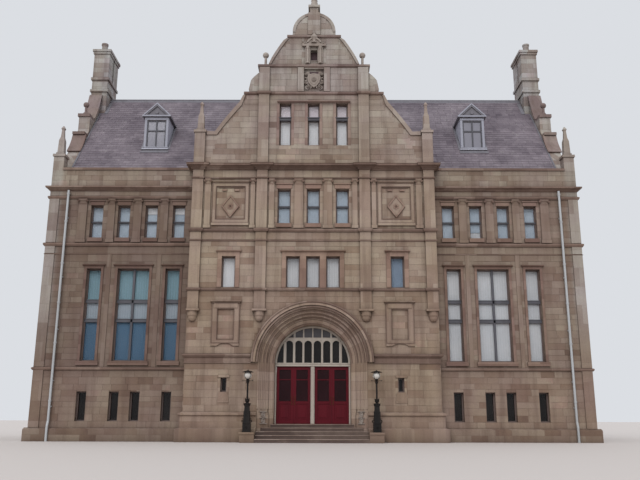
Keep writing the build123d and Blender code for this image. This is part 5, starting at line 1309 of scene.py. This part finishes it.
@dataclass
class Windows:
    """Transoms, meeting rails and mullions in the timber frames, and blinds behind the panes."""

    depth: Span = (0.166, 0.268)
    transom: float = 0.165
    meeting: float = 0.075
    shade: Span = (0.289, 0.293)
    tall_rises: Span = (1.92, 2.84)
    gable_rise: float = 1.34

    def rail(self, shape: Shape, light: Light, rise: float, height: float, place: Matrix) -> None:
        """Add one rail across a window, with a small weathered nosing.

        Args:
            shape: Where it goes.
            light: The window.
            rise: Its middle over the sill.
            height: How high it is.
            place: The wall's axes.
        """
        half = light.width / 2 - 0.004
        front = self.depth[0]
        foot, top = light.sill + rise - height / 2, light.sill + rise + height / 2
        shape.slab(light.u, half, self.depth, (foot, top), 0.008, place)
        shape.slab(light.u, half, (front - 0.02, front + 0.02), (top - 0.02, top + 0.004), 0.004, place)

    def bars(self) -> None:
        """Build the rails, the transoms and the mullions of the pairs."""
        street = TALLS + TOPS
        walls = ((street + [light.mirrored() for light in street], STREET), (SIDES, RIGHT_PLANE),
                 (SIDES, LEFT_PLANE), (BACKS, BACK_PLANE), (FRONT_TOPS, FRONT_PLANE))
        shape = Shape()
        for light, place in [(light, place) for lights, place in walls for light in lights]:
            if light.height > 4:
                for rise in self.tall_rises:
                    self.rail(shape, light, rise, self.transom, place)
                if light.width > 1:
                    upright = (light.sill + 0.004, light.sill + light.height - 0.004)
                    shape.slab(light.u, 0.055, self.depth, upright, 0.008, place)
            elif light.height > 1.5:
                self.rail(shape, light, light.height / 2, self.meeting, place)
        shape.finish("window_rails", Finishes.RAIL, "sash_paint")
        shape = Shape()
        for light in GABLES:
            z = light.sill + self.gable_rise
            for spread, y, rise in ((-0.002, (0.02, self.depth[1]), (z - 0.02, z + 0.12)),
                                    (0.05, (-0.035, -0.001), (z + 0.09, z + 0.135))):
                shape.slab(light.u, light.width / 2 + spread, y, rise, 0.01, FRONT_PLANE)
        shape.finish("gable_transoms", Finishes.RAIL, "sandstone")

    def blinds(self) -> None:
        """Hang flat blinds behind the windows, each between two rises over its sill."""
        full, top, split = TALLS[0].height - 0.02, TOPS[0].height - 0.02, self.gable_rise
        middle, upper = ([(light, FRONT_PLANE, 0.02, light.height - 0.02) for light in row]
                         for row in (MIDDLES, FRONT_TOPS))
        pale = [(light, STREET, 0.02, full) for light in TALLS] + middle[1:4]
        pale += [(TOPS[1], STREET, 0.02, 0.34)]
        pale += [(light, place, 2.85, full) for place in (LEFT_PLANE, RIGHT_PLANE) for light in SIDES
                 if light.height > 4]
        pale += [(light, BACK_PLANE, 1.94, full) for light in BACKS if light.height > 4]
        white = [(light, FRONT_PLANE, 0.02, split) for light in GABLES] + middle[:1]
        white += [(light.mirrored(), STREET, top - 0.36, top) for light in TOPS[:2]]
        dusk = [(light, STREET, 0.36 if i == 1 else 0.02, top) for i, light in enumerate(TOPS)]
        dusk += [(light.mirrored(), STREET, 0.02, top - (0.38 if i < 2 else 0.0))
                 for i, light in enumerate(TOPS)] + upper
        rosy = [(light, FRONT_PLANE, split + 0.01, light.height - 0.02) for light in GABLES]
        blue = [(light.mirrored(), STREET, 0.02, full) for light in TALLS]
        for name, lights, finish in (
                ("blue_blinds", blue, Finishes.BLUE_BLIND), ("pale_blinds", pale, Finishes.PALE_BLIND),
                ("white_blinds", white, Finishes.WHITE_BLIND),
                ("dusk_blinds", dusk, Finishes.DUSK_BLIND), ("rosy_blinds", rosy, Finishes.ROSE_BLIND),
                ("deep_blind", middle[4:], Finishes.DEEP_BLIND)):
            shape = Shape()
            for light, place, low, high in lights:
                hung = (light.sill + low, light.sill + high)
                shape.slab(light.u, light.width / 2 - 0.02, self.shade, hung, 0.001, place)
            shape.finish(name, finish, "white_paint")

    def build(self) -> None:
        """Build the rails and hang the blinds."""
        self.bars()
        self.blinds()


@dataclass
class Fanlight:
    """Painted tracery in front of the fanlight's frame: bars, round heads, rail and rim."""

    radius: float = 1.779
    pitch: float = 0.445
    lower_bar: float = 0.095
    upper_bar: float = 0.055
    rail: Span = (4.655, 4.77)
    front: float = 0.415
    face: float = 0.449

    def head(self, shape: Shape, middle: float) -> None:
        """Add the round head of one lower light, in two halves.

        Args:
            shape: Where it goes.
            middle: The light's middle.
        """
        half, steps = (self.pitch - self.lower_bar) / 2, 10
        centre, top = self.rail[0] - 0.02 - half, self.rail[0] + 0.01
        turns = [math.pi * i / steps for i in range(steps + 1)]
        curve = [(middle - half * math.cos(turn), centre + half * math.sin(turn)) for turn in turns]
        crown = (middle, top)
        for outline in ([(middle - half, top)] + curve[:steps // 2 + 1] + [crown],
                        [crown] + curve[steps // 2:] + [(middle + half, top)]):
            shape.prism(outline, self.front + 0.006, self.face)

    def build(self) -> None:
        """Build the tracery and the moulded transom."""
        shape = Shape()
        foot, top = self.rail
        inner, deep = self.radius - 0.06, (self.front, self.face)
        for i in range(-3, 4):
            x = i * self.pitch
            half, thin = self.lower_bar / 2, self.upper_bar / 2
            chord, crown = (SPRING + math.sqrt(inner ** 2 - (abs(x) + reach) ** 2)
                            for reach in (half, thin))
            rise = (SPRING + 0.02, min(foot + 0.02, chord))
            shape.slab(x, half, deep, rise, 0.012)
            shape.slab(x, half * 0.35, (self.front - 0.016, self.front + 0.004), rise, 0.006)
            shape.slab(x, thin, deep, (top - 0.02, crown), 0.01)
        for i in range(-3, 3):
            self.head(shape, (i + 0.5) * self.pitch)
        reach = math.sqrt(inner ** 2 - (top - SPRING) ** 2)
        rim = [(self.radius - 0.095, self.face), (self.radius - 0.095, self.front + 0.01),
               (self.radius - 0.07, self.front - 0.012), (self.radius - 0.004, self.front - 0.012),
               (self.radius - 0.004, self.face)]
        shape.arc(rim, 1.0, 179.0, 40, at(0.0, 0.0, SPRING))
        for x, half, front, z, bevel in (
                (0.0, reach, self.front - 0.01, self.rail, 0.012),
                (0.0, 1.775, 0.405, (3.425, 3.56), 0.012), (0.0, 1.775, 0.375, (3.535, 3.585), 0.01),
                (0.0, 0.075, 0.425, (0.8, 3.43), 0.012), (-1.735, 0.036, 0.425, (0.8, 3.43), 0.012),
                (1.735, 0.036, 0.425, (0.8, 3.43), 0.012)):
            shape.slab(x, half, (front, self.face), z, bevel)
        shape.slab(0.0, reach, (self.front - 0.028, self.front), (top - 0.035, top + 0.006), 0.006)
        shape.finish("fanlight_tracery", Finishes.CREAM, "white_paint")


@dataclass
class DoorDressing:
    """Mouldings, a glazing bar and a handle on each leaf."""

    face: float = 0.508
    edges: Profile = ((-1.6975, -0.9015), (-0.8935, -0.098), (0.098, 0.8935), (0.9015, 1.6975))
    light: Span = (1.828, 3.272)
    panel: Span = (0.998, 1.703)
    inset: float = 0.125
    bar: float = 2.81
    rose: Profile = ((0.0, 0.0), (0.022, 0.0), (0.022, 0.006), (0.009, 0.012), (0.009, 0.034),
                     (0.0, 0.034))
    grip: Profile = ((0.0, -0.022), (0.007, -0.018), (0.009, 0.0), (0.011, 0.17), (0.009, 0.34),
                     (0.007, 0.358), (0.0, 0.362))

    def build(self) -> None:
        """Dress the four leaves, each riding on its own body."""
        face = self.face
        for number, (left, right) in enumerate(self.edges, 1):
            middle, half = (left + right) / 2, (right - left) / 2
            inner = half - self.inset
            shape = Shape()
            for opening, width in ((self.light, 0.022), (self.panel, 0.018)):
                shape.beads(middle, inner, opening, width, (face - 0.011, face + 0.003), 0.004, 0.001)
            bar = (self.bar - 0.02, self.bar + 0.02)
            raised = (self.panel[0] + 0.09, self.panel[1] - 0.09)
            for reach, y, z, bevel in ((inner - 0.001, (0.004, 0.018), bar, 0.004),
                                       (inner - 0.09, (-0.006, 0.006), raised, 0.006),
                                       (half - 0.012, (-0.007, 0.003), (0.815, 0.955), 0.004)):
                shape.slab(middle, reach, (face + y[0], face + y[1]), z, bevel)
            shape.finish(f"door_mouldings_{number}", Finishes.DOOR, "door_paint", f"leaf_{number}")
            shape = Shape()
            x = right - 0.062 if number in (1, 3) else left + 0.062
            for z in (1.68, 2.02):
                shape.turned(self.rose, facing_out(x, face + 0.001, z), 12)
            shape.turned(self.grip, at(x, face - 0.035, 1.68), 12)
            shape.finish(f"door_handle_{number}", Finishes.BRASS, "door_paint", f"leaf_{number}")


@dataclass
class Porch:
    """Nosings of the steps, roundels on the jambs' feet and rolls round the arch."""

    nosings: tuple[Point, ...] = ((-1.59, 0.158, 2.5), (-1.23, 0.316, 2.5), (-0.87, 0.474, 2.5),
                                  (-0.51, 0.632, 2.28), (-0.15, 0.79, 1.97))
    roundel: Profile = ((0.0, 0.03), (0.28, 0.026), (0.4, 0.01), (0.62, 0.008), (0.7, 0.03),
                        (0.86, 0.034), (1.0, 0.02), (1.0, -0.01), (0.0, -0.01))
    rolls: tuple[Point, ...] = ((2.475, -0.607, 0.034), (2.325, -0.462, 0.04),
                                (2.175, -0.316, 0.034), (2.045, -0.185, 0.03),
                                (1.87, -0.062, 0.026))
    # Dark rolls round the arch: partly the stone's darker edge, partly painted shade in its hollows and
    # under its soffit.
    edges: tuple[Point, ...] = ((2.782, -0.742, 0.044), (2.535, -0.742, 0.03),
                                (2.41, -0.55, 0.022), (2.25, -0.39, 0.022), (2.1, -0.25, 0.024),
                                (1.845, -0.078, 0.022))
    jamb: Span = (2.228, -0.428)
    splay: float = 44.0
    run_foot: float = 1.45

    def ring(self, shape: Shape, radius: float, depth: float, thick: float) -> None:
        """Add a roll round the arch.

        Args:
            shape: Where it goes.
            radius, depth: The middle of its section.
            thick: Its own radius.
        """
        turns = [math.tau * i / 8 for i in range(8)]
        section = [(radius + thick * math.cos(turn), depth + thick * math.sin(turn)) for turn in turns]
        shape.arc(section, 0.0, 180.0, 48, at(0.0, 0.0, SPRING))

    def build(self) -> None:
        """Build the nosings, the jambs' carved feet and the rolls with their runs down the jambs."""
        shape = Shape()
        for y, z, half in self.nosings:
            shape.slab(0.0, half, (y - 0.018, y + 0.04), (z - 0.036, z + 0.003), 0.008)
        shape.finish("step_nosings", Finishes.NOSING, "step_stone")
        shape = Shape()
        for side in BOTH:
            x, y, swing = side * self.jamb[0], self.jamb[1], -side * self.splay
            for z in (0.93, 1.2):
                shape.turned(self.roundel, facing_out(x, y, z, swing), 18, 0.115)
            for z in (0.81, 1.065, 1.335):
                place = at(x, y, z) @ spun(swing)
                shape.slab(0.0, 0.2, (-0.03, 0.02), (-0.018, 0.018), 0.006, place)
        shape.finish("jamb_roundels", Finishes.CARVED, "sandstone")
        shape = Shape()
        for radius, depth, thick in self.rolls:
            self.ring(shape, radius, depth, thick)
            length = SPRING - self.run_foot
            for side in BOTH:
                shape.turned([(0.0, 0.0), (thick, 0.0), (thick, length), (0.0, length)],
                             at(side * radius, depth, self.run_foot), 8)
        shape.finish("arch_rolls", Finishes.ARCH, "sandstone")
        # Dark rolls, partly painted shade in the arch's hollows and under its soffit.
        shape = Shape()
        for roll in self.edges:
            self.ring(shape, *roll)
        shape.finish("arch_shade_rolls", Finishes.COURSE, "sandstone")


@dataclass
class Carvings:
    """Generic strapwork, diamonds and capitals on the street front."""

    shield_height: float = 17.63
    shield_face: float = -0.575
    diamond: Span = (0.43, 0.57)
    diamond_height: float = 10.98
    shield: Profile = ((-0.3, 0.33), (-0.12, 0.36), (0.0, 0.33), (0.12, 0.36), (0.3, 0.33),
                       (0.34, 0.1), (0.27, -0.14), (0.14, -0.3), (0.0, -0.4), (-0.14, -0.3),
                       (-0.27, -0.14), (-0.34, 0.1))
    scroll: Profile = ((0.0, 0.05), (0.2, 0.046), (0.3, 0.02), (0.42, 0.02), (0.5, 0.04), (0.62, 0.04),
                       (0.7, 0.015), (0.8, 0.015), (0.88, 0.034), (1.0, 0.026), (1.0, -0.02),
                       (0.0, -0.02))
    vase: Profile = ((0.0, 0.0), (0.16, 0.0), (0.16, 0.05), (0.09, 0.1), (0.11, 0.2), (0.17, 0.3),
                     (0.16, 0.4), (0.1, 0.46), (0.07, 0.5), (0.09, 0.56), (0.0, 0.62))
    column: Profile = ((0.0, 0.0), (0.075, 0.0), (0.075, 0.05), (0.052, 0.08), (0.055, 0.4),
                       (0.046, 0.76), (0.06, 0.8), (0.08, 0.88), (0.08, 0.93), (0.0, 0.93))
    capital: Profile = ((0.0, 0.022), (0.018, 0.018), (0.026, 0.004), (0.036, 0.004),
                        (0.044, 0.018), (0.058, 0.01), (0.058, -0.01), (0.0, -0.01))
    ray: Profile = ((-0.035, -0.36), (0.035, -0.36), (0.022, -0.47), (0.0, -0.5), (-0.022, -0.47))
    petal: Profile = ((-0.02, 0.03), (0.02, 0.03), (0.045, 0.11), (0.0, 0.17), (-0.045, 0.11))

    def volute(self, shape: Shape, x: float, y: float, z: float, radius: float) -> None:
        """Add a scroll's end: two rings round a boss."""
        shape.turned(self.scroll, facing_out(x, y, z), 18, radius)

    def cartouche(self) -> None:
        """Build the shield with its strapwork in the sunk panel of the gable."""
        shape = Shape()
        up, face = self.shield_height, self.shield_face
        for scale, lift, front, back, bevel in ((1.0, 0.0, 0.05, -0.02, 0.018),
                                                (0.72, 0.01, 0.068, 0.045, 0.012)):
            outline = [(x * scale, up + lift + z * scale) for x, z in self.shield]
            shape.prism(outline, face - front, face - back, bevel)
        self.volute(shape, 0.0, face - 0.066, up + 0.02, 0.12)
        for side in BOTH:
            for x, z, radius in ((0.4, 0.36, 0.085), (0.43, -0.12, 0.075), (0.3, -0.34, 0.07)):
                self.volute(shape, side * x, face + 0.01, up + z, radius)
            for i in range(5):
                place = at(0.0, 0.0, up + 0.02) @ spun(side * (20 + 22 * i), "Y")
                shape.prism(self.ray, face - 0.01, face + 0.03, 0.008, place)
        shape.finish("gable_cartouche", Finishes.CARVED, "sandstone")

    def crown(self) -> None:
        """Build the curved crown, the vase and the colonnettes of the niche, and the dark slabs of
        painted shade in the recesses.
        """
        shape = Shape()
        section = [(0.31, -0.7), (0.31, -0.75), (0.345, -0.77), (0.39, -0.77), (0.39, -0.7)]
        shape.arc(section, 20.0, 160.0, 18, at(0.0, 0.0, 19.56))
        shape.turned(self.vase, at(0.0, -0.69, 19.66))
        for side in BOTH:
            self.volute(shape, side * 0.44, -0.73, 19.66, 0.09)
            shape.turned(self.column, at(side * 0.32, -0.715, 18.53), 14)
        shape.slab(0.0, 0.19, (-0.64, -0.6), (18.66, 18.7), 0.006)
        shape.finish("niche_crown", Finishes.CARVED, "sandstone")
        # Painted shade: thin dark slabs at the back of the niche and under the panel head.
        shape = Shape()
        shape.slab(0.0, 0.17, (-0.352, -0.345), (18.69, 19.29), 0.002)
        shape.slab(0.0, 0.47, (-0.503, -0.494), (18.0, 18.14), 0.002)
        shape.finish("painted_recess_shades", Finishes.RECESS_SHADE, "sandstone")

    def diamonds(self) -> None:
        """Build the raised borders and rosettes of the two diamonds."""
        shape = Shape()
        (wide, tall), centre = self.diamond, self.diamond_height
        points = ((wide, 0.0), (0.0, tall), (-wide, 0.0), (0.0, -tall), (wide, 0.0))
        for middle in (-4.0, 4.0):
            for a, b in zip(points, points[1:]):
                edge = (a, b, (b[0] * 0.83, b[1] * 0.83), (a[0] * 0.83, a[1] * 0.83))
                shape.prism([(middle + x, centre + z) for x, z in edge], -0.685, -0.645, 0.006)
            for i in range(6):
                place = at(middle, 0.0, centre) @ spun(60 * i, "Y")
                shape.prism(self.petal, -0.672, -0.645, 0.006, place)
            self.volute(shape, middle, -0.655, centre, 0.055)
            shape.slab(middle, 0.66, (-0.66, -0.645), (10.36, 10.385), 0.004)
            for offset in (-0.3, 0.3):
                shape.slab(middle + offset, 0.12, (-0.665, -0.62), (11.75, 11.83), 0.008)
        shape.finish("diamond_borders", Finishes.ROSE, "sandstone")

    def beads(self) -> None:
        """Build the dark beads of the blind panels and the diamond panels."""
        shape = Shape()
        for side in BOTH:
            for x, half, z, face in (
                    (4.05, 0.376, (4.589, 5.981), -0.66), (4.05, 0.618, (4.43, 6.23), -0.66),
                    (4.0, 0.691, (10.349, 11.971), -0.65), (4.0, 0.862, (10.18, 12.14), -0.65)):
                shape.beads(side * x, half, z, 0.03, (face - 0.018, face + 0.004), 0.006)
            shape.slab(side * 4.0, 0.6, (-0.635, -0.6), (11.9, 11.935), 0.006)
            shape.slab(side * 4.05, 0.66, (-0.72, -0.655), (6.262, 6.288), 0.006)
        shape.finish("panel_beads", Finishes.COURSE, "sandstone")

    def capitals(self) -> None:
        """Build the scrolls on the capitals of both upper storeys."""
        shape = Shape()
        for y, z, pilasters in ((0.0, 11.4, WING_PILASTERS), (FRONT_Y, 12.25, FRONT_PILASTERS)):
            for x, half in [(side * u, width / 2) for u, width in pilasters for side in BOTH]:
                for end in BOTH:
                    shape.turned(self.capital, facing_out(x + end * half, y - 0.146, z), 12)
                shape.slab(x, half + 0.02, (y - 0.16, y - 0.05), (z + 0.095, z + 0.118), 0.005)
                shape.slab(x, half - 0.01, (y - 0.083, y - 0.06), (z - 0.16, z - 0.13), 0.005)
        shape.finish("capital_scrolls", Finishes.ROSE, "sandstone")

    def lintels(self) -> None:
        """Build the lintels over the top windows and the strips beside the gable's."""
        shape = Shape()
        wings = [side * light.u for light in TOPS for side in BOTH]
        front = [light.u for light in FRONT_TOPS]
        for places, half, face, z, drip in (
                (wings, 0.34, 0.0, (11.2, 11.38), (11.39, 11.44)),
                (front, 0.38, FRONT_Y, (11.885, 12.08), (12.09, 12.14))):
            for u in places:
                shape.slab(u, half, (face - 0.035, face - 0.001), z, 0.008)
                shape.slab(u, half + 0.04, (face - 0.07, face - 0.001), drip, 0.01)
        for x in [light.u + edge * 0.365 for light in GABLES for edge in BOTH]:
            shape.slab(x, 0.07, (-0.625, -0.601), (14.14, 16.38), 0.006)
        shape.finish("window_lintels", Finishes.ROSE, "sandstone")

    def build(self) -> None:
        """Build all carvings."""
        self.cartouche()
        self.crown()
        self.diamonds()
        self.beads()
        self.capitals()
        self.lintels()


@dataclass
class Lamps:
    """Cast ornaments on the two lamp standards."""

    stud: Profile = ((0.0, 0.016), (0.02, 0.014), (0.03, 0.004), (0.042, 0.012), (0.05, 0.0),
                     (0.0, 0.0))
    collar: Profile = ((0.037, -0.014), (0.05, -0.008), (0.053, 0.0), (0.05, 0.008), (0.037, 0.014))
    ladder_bar: Profile = ((0.0, -0.24), (0.02, -0.235), (0.026, -0.22), (0.02, -0.205),
                           (0.009, -0.2), (0.009, 0.2), (0.02, 0.205), (0.026, 0.22),
                           (0.02, 0.235), (0.0, 0.24))
    hoop: Profile = ((0.252, 2.594), (0.256, 2.6), (0.252, 2.612), (0.238, 2.606), (0.238, 2.598),
                     (0.252, 2.594))
    leaf: Profile = ((-0.03, 0.0), (0.03, 0.0), (0.036, 0.07), (0.0, 0.13), (-0.036, 0.07))
    scroll: Profile = ((0.05, -0.012), (0.05, 0.012), (0.066, 0.012), (0.066, -0.012))
    arm: Profile = ((0.182, -0.006), (0.182, 0.006), (0.192, 0.006), (0.192, -0.006))
    places: tuple[Point, ...] = ((-2.88, -1.23, 0.45), (2.88, -1.23, 0.45))

    def standard(self, shape: Shape, centre: Matrix) -> None:
        """Add the ornaments of one standard.

        Args:
            shape: Where they go.
            centre: Where it stands.
        """
        for turn in range(4):
            face, corner = centre @ spun(90 * turn), centre @ spun(45 + 90 * turn)
            for x in (-0.045, 0.045):
                shape.slab(x, 0.011, (-0.146, -0.12), (0.47, 0.9), 0.003, face)
            shape.turned(self.stud, face @ at(0.0, -0.17, 0.205) @ spun(90, "X"), 12)
            shape.arc(self.scroll, -60.0, 200.0, 12, corner @ at(0.225, 0.0, 0.47))
            shape.arc(self.scroll, 100.0, 330.0, 12, corner @ at(0.2, 0.0, 0.62))
            shape.arc(self.arm, -58.0, 48.0, 12, corner @ at(0.0, 0.0, 2.458))
            for z in ((0.0, 0.05), (0.372, 0.41)):
                shape.slab(0.0, 0.178, (-0.178, -0.168), z, 0.004, face)
        for count, radius, rise, lean, size in (
                (8, 0.115, 1.13, 24.0, 1.0), (8, 0.085, 1.36, 14.0, 0.8), (6, 0.055, 2.17, 30.0, 0.7)):
            for i in range(count):
                place = centre @ spun(360 * i / count) @ at(0.0, -radius, rise) @ spun(lean, "X")
                shape.prism(self.leaf, -0.007, 0.007, 0.002, place @ Matrix.Scale(size, 4))
        for rise in (1.5, 1.78, 2.02):
            shape.turned(self.collar, centre @ at(0.0, 0.0, rise))
        shape.turned(self.ladder_bar, centre @ at(0.0, 0.0, 2.24) @ spun(90, "Y"), 12)
        shape.turned(self.hoop, centre, 28)

    def build(self) -> None:
        """Dress both standards."""
        shape = Shape()
        for place in self.places:
            self.standard(shape, at(*place))
        shape.finish("lamp_ornaments", Finishes.IRON, "lamp_iron")


@dataclass
class RoofTrims:
    """Lead flashings, ridge rolls and the dormers' mouldings."""

    flashing: float = 0.09
    roll_x: float = 12.08
    roll_z: float = 19.34

    def along(self, x: float, y: float) -> Matrix:
        """A place on the front slope whose y axis runs up it."""
        rise = math.atan2(RIDGE_Z - EAVES_Z, RIDGE_Y - EAVES_Y)
        return at(x, y, EAVES_Z + (y - EAVES_Y) * math.tan(rise)) @ Matrix.Rotation(rise, 4, "X")

    def roll(self, shape: Shape, length: float, place: Matrix) -> None:
        """Add a ridge roll along a place's upright axis."""
        shape.turned([(0.0, 0.0), (0.05, 0.0), (0.05, length), (0.0, length)], place, 12)

    def leads(self) -> None:
        """Build the flashings along the gables and round the dormers, and the ridge rolls."""
        shape = Shape()
        thick, half = (0.03, 0.05), self.flashing / 2
        for side in BOTH:
            for whole in (STREET, BACK_PLANE):
                place = whole @ self.along(side * (ROOF_X - half), EAVES_Y + 0.1)
                shape.slab(0.0, half, (0.0, 6.15), thick, 0.006, place)
                place = whole @ self.along(side * 12.0, STACK_Y)
                shape.box((-0.12, 0.08), (0.02, 1.3), thick, 0.006, place)
            for edge in BOTH:
                place = self.along(side * DORMER_X + edge * 0.72, 2.02)
                shape.slab(0.0, 0.05, (0.0, 2.35), thick, 0.006, place)
            shape.slab(0.0, 0.76, (0.0, 0.16), thick, 0.006, self.along(side * DORMER_X, 1.83))
        self.roll(shape, 2 * self.roll_x, at(-self.roll_x, RIDGE_Y, self.roll_z) @ spun(90, "Y"))
        self.roll(shape, 5.25, at(0.0, 0.02, 19.03) @ spun(-90, "X"))
        shape.finish("lead_flashings", Finishes.LEAD, "lead")

    def dormers(self) -> None:
        """Build the posts, aprons, bargeboards, bars and panes of the two dormers."""
        shape, bars, panes = Shape(), Shape(), Shape()
        for middle in (-DORMER_X, DORMER_X):
            for edge in BOTH:
                shape.slab(middle + edge * 0.575, 0.06, (2.03, 2.052), (15.02, 16.62), 0.006)
                rake = ((0.755, 16.84), (0.0, 17.56), (0.0, 17.47), (0.675, 16.83))
                shape.prism([(middle + edge * x, z) for x, z in rake], 1.905, 1.94, 0.006)
            for half, y, z, bevel in ((0.64, (2.02, 2.052), (16.6, 16.74), 0.006),
                                      (0.77, (1.905, 1.94), (16.765, 16.84), 0.008),
                                      (0.7, (1.935, 1.965), (14.99, 15.035), 0.006)):
                shape.slab(middle, half, y, z, bevel)
            for x, half in ((-0.48, 0.03), (0.0, 0.035), (0.48, 0.03)):
                bars.slab(middle + x, half, (2.06, 2.1), (15.02, 16.58), 0.004)
            for z, half in ((15.05, 0.03), (15.985, 0.035), (16.55, 0.03)):
                bars.slab(middle, 0.505, (2.065, 2.095), (z - half, z + half), 0.004)
            panes.slab(middle, 0.5, (2.105, 2.11), (15.03, 16.57), 0.001)
        shape.finish("dormer_mouldings", Finishes.TRIM, "white_paint")
        bars.finish("dormer_bars", Finishes.RAIL, "sash_paint")
        panes.finish("dormer_panes", Finishes.SKY_PANE, "window_glass")

    def build(self) -> None:
        """Build the trims."""
        self.leads()
        self.dormers()


@dataclass
class Pipes:
    """Sockets on the rainwater pipes."""

    x: float = 12.05
    y: float = -0.16
    levels: tuple[float, ...] = (1.75, 4.4, 6.3, 8.2, 10.3, 11.7)
    socket: Profile = ((0.056, 0.0), (0.068, 0.004), (0.07, 0.06), (0.078, 0.066), (0.078, 0.085),
                       (0.056, 0.09))

    def build(self) -> None:
        """Build the sockets of both pipes."""
        shape = Shape()
        for side in BOTH:
            for z in self.levels:
                shape.turned(self.socket, at(side * self.x, self.y, z))
        shape.finish("pipe_sockets", Finishes.PIPE, "pipe_paint")


@dataclass
class Studio:
    """Floor, light and camera."""

    eye: Point = (0.4155, -34.112, 1.0)
    lens: float = 40.67
    yaw: float = -0.00253
    pitch: float = 0.24327
    roll: float = 0.00282

    def camera(self) -> None:
        """Stand the camera where the photograph was taken from."""
        data = bpy.data.cameras.new("view")
        data.sensor_width = 36.0
        data.sensor_fit = "HORIZONTAL"
        data.lens = self.lens
        data.clip_end = 2000.0
        obj = bpy.data.objects.new("view", data)
        obj.matrix_world = (at(*self.eye) @ Matrix.Rotation(-self.yaw, 4, "Z")
                            @ Matrix.Rotation(math.pi / 2 + self.pitch, 4, "X")
                            @ Matrix.Rotation(self.roll, 4, "Z"))
        bpy.context.scene.collection.objects.link(obj)
        bpy.context.scene.camera = obj

    def floor(self) -> None:
        """Lay a plain pale floor."""
        bm = bmesh.new()
        bmesh.ops.create_grid(bm, x_segments=1, y_segments=1, size=400.0)
        mesh = bpy.data.meshes.new("studio_floor")
        bm.to_mesh(mesh)
        bm.free()
        obj = bpy.data.objects.new("studio_floor", mesh)
        bpy.context.scene.collection.objects.link(obj)
        made = bpy.data.materials.new("studio floor")
        made.use_nodes = True
        graph = Graph(made.node_tree)
        shader = graph.add("BsdfPrincipled", {"Base Color": tone(190, 181, 175), "Roughness": 0.9})
        graph.add("OutputMaterial", {"Surface": shader.outputs[0]})
        mesh.materials.append(made)

    def light(self) -> None:
        """Light the building softly from the sky and the front."""
        world = bpy.data.worlds.new("studio")
        bpy.context.scene.world = world
        world.use_nodes = True
        graph = Graph(world.node_tree)
        rays = graph.add("LightPath").outputs
        seen = graph.most(rays["Is Camera Ray"], rays["Is Transmission Ray"])
        seen = graph.most(seen, rays["Is Glossy Ray"])
        colour = graph.blend(seen, (0.9, 0.95, 1.02, 1.0), tone(219, 222, 227))
        back = graph.add("Background", {"Color": colour, "Strength": 1.0})
        graph.add("OutputWorld", {"Surface": back.outputs[0]})
        data = bpy.data.lights.new("soft sun", "SUN")
        data.energy = 1.5
        data.angle = math.radians(40)
        obj = bpy.data.objects.new("soft sun", data)
        obj.rotation_euler = (math.radians(48), 0.0, math.radians(-12))
        bpy.context.scene.collection.objects.link(obj)

    def build(self) -> None:
        """Set up the studio."""
        bpy.context.scene.view_settings.view_transform = "Standard"
        self.floor()
        self.light()
        self.camera()


NODE_FINISH = {
    Finishes.WALL: ("wing_walls", "side_walls", "back_wall", "front_walls", "spandrel_wall",
                    "front_wall_upper", "gable_wall", "gable_upper_stages", "chimneys"),
    Finishes.ARCH: ("arch_ring", "door_jambs", "arch_hood"),
    Finishes.COURSE: ("wing_courses", "front_courses"),
    Finishes.LEDGE: ("gable_ledges", "wall_copings"),
    Finishes.ROSE: ("window_surrounds",),
    Finishes.STEP: ("entrance_steps",),
    Finishes.LEAD: ("roof_front", "roof_back", "cross_roof", "ridges", "dormer_roofs"),
    Finishes.DORMER: ("dormer_bodies",),
    Finishes.WHITE: ("door_frame", "fanlight"),
    Finishes.SASH: ("wing_window_frames", "front_window_frames"),
    Finishes.PANE: ("wing_window_glass", "front_window_glass"),
    Finishes.IRON: ("lamp_standards", "lamp_canopies"),
    Finishes.OPAL: ("lamp_globes",),
    Finishes.PIPE: ("rainwater_pipes",),
    Finishes.BOARDS: ("ground_floor", "first_floors", "upper_floors"),
    Finishes.DOOR: tuple(f"door_leaf_{number}" for number in range(1, 5)),
    Finishes.DOOR_PANE: tuple(f"door_glass_{number}" for number in range(1, 5)),
}


def dress_nodes() -> None:
    """Give every CAD node its finish, or dressed stone where it has none of its own."""
    finishes = {name: finish for finish, names in NODE_FINISH.items() for name in names}
    for name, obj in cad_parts.items():
        dress(obj, finishes.get(name, Finishes.DRESSED))


def main() -> None:
    """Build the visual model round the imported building."""
    logging.basicConfig(level=logging.INFO, format="%(name)s: %(message)s")
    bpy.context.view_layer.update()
    dress_nodes()
    for part in (Walls(), SlateRoof(), Windows(), Fanlight(), DoorDressing(), Porch(), Carvings(),
                 Lamps(), RoofTrims(), Pipes(), Studio()):
        part.build()


if __name__ == "__main__":
    main()
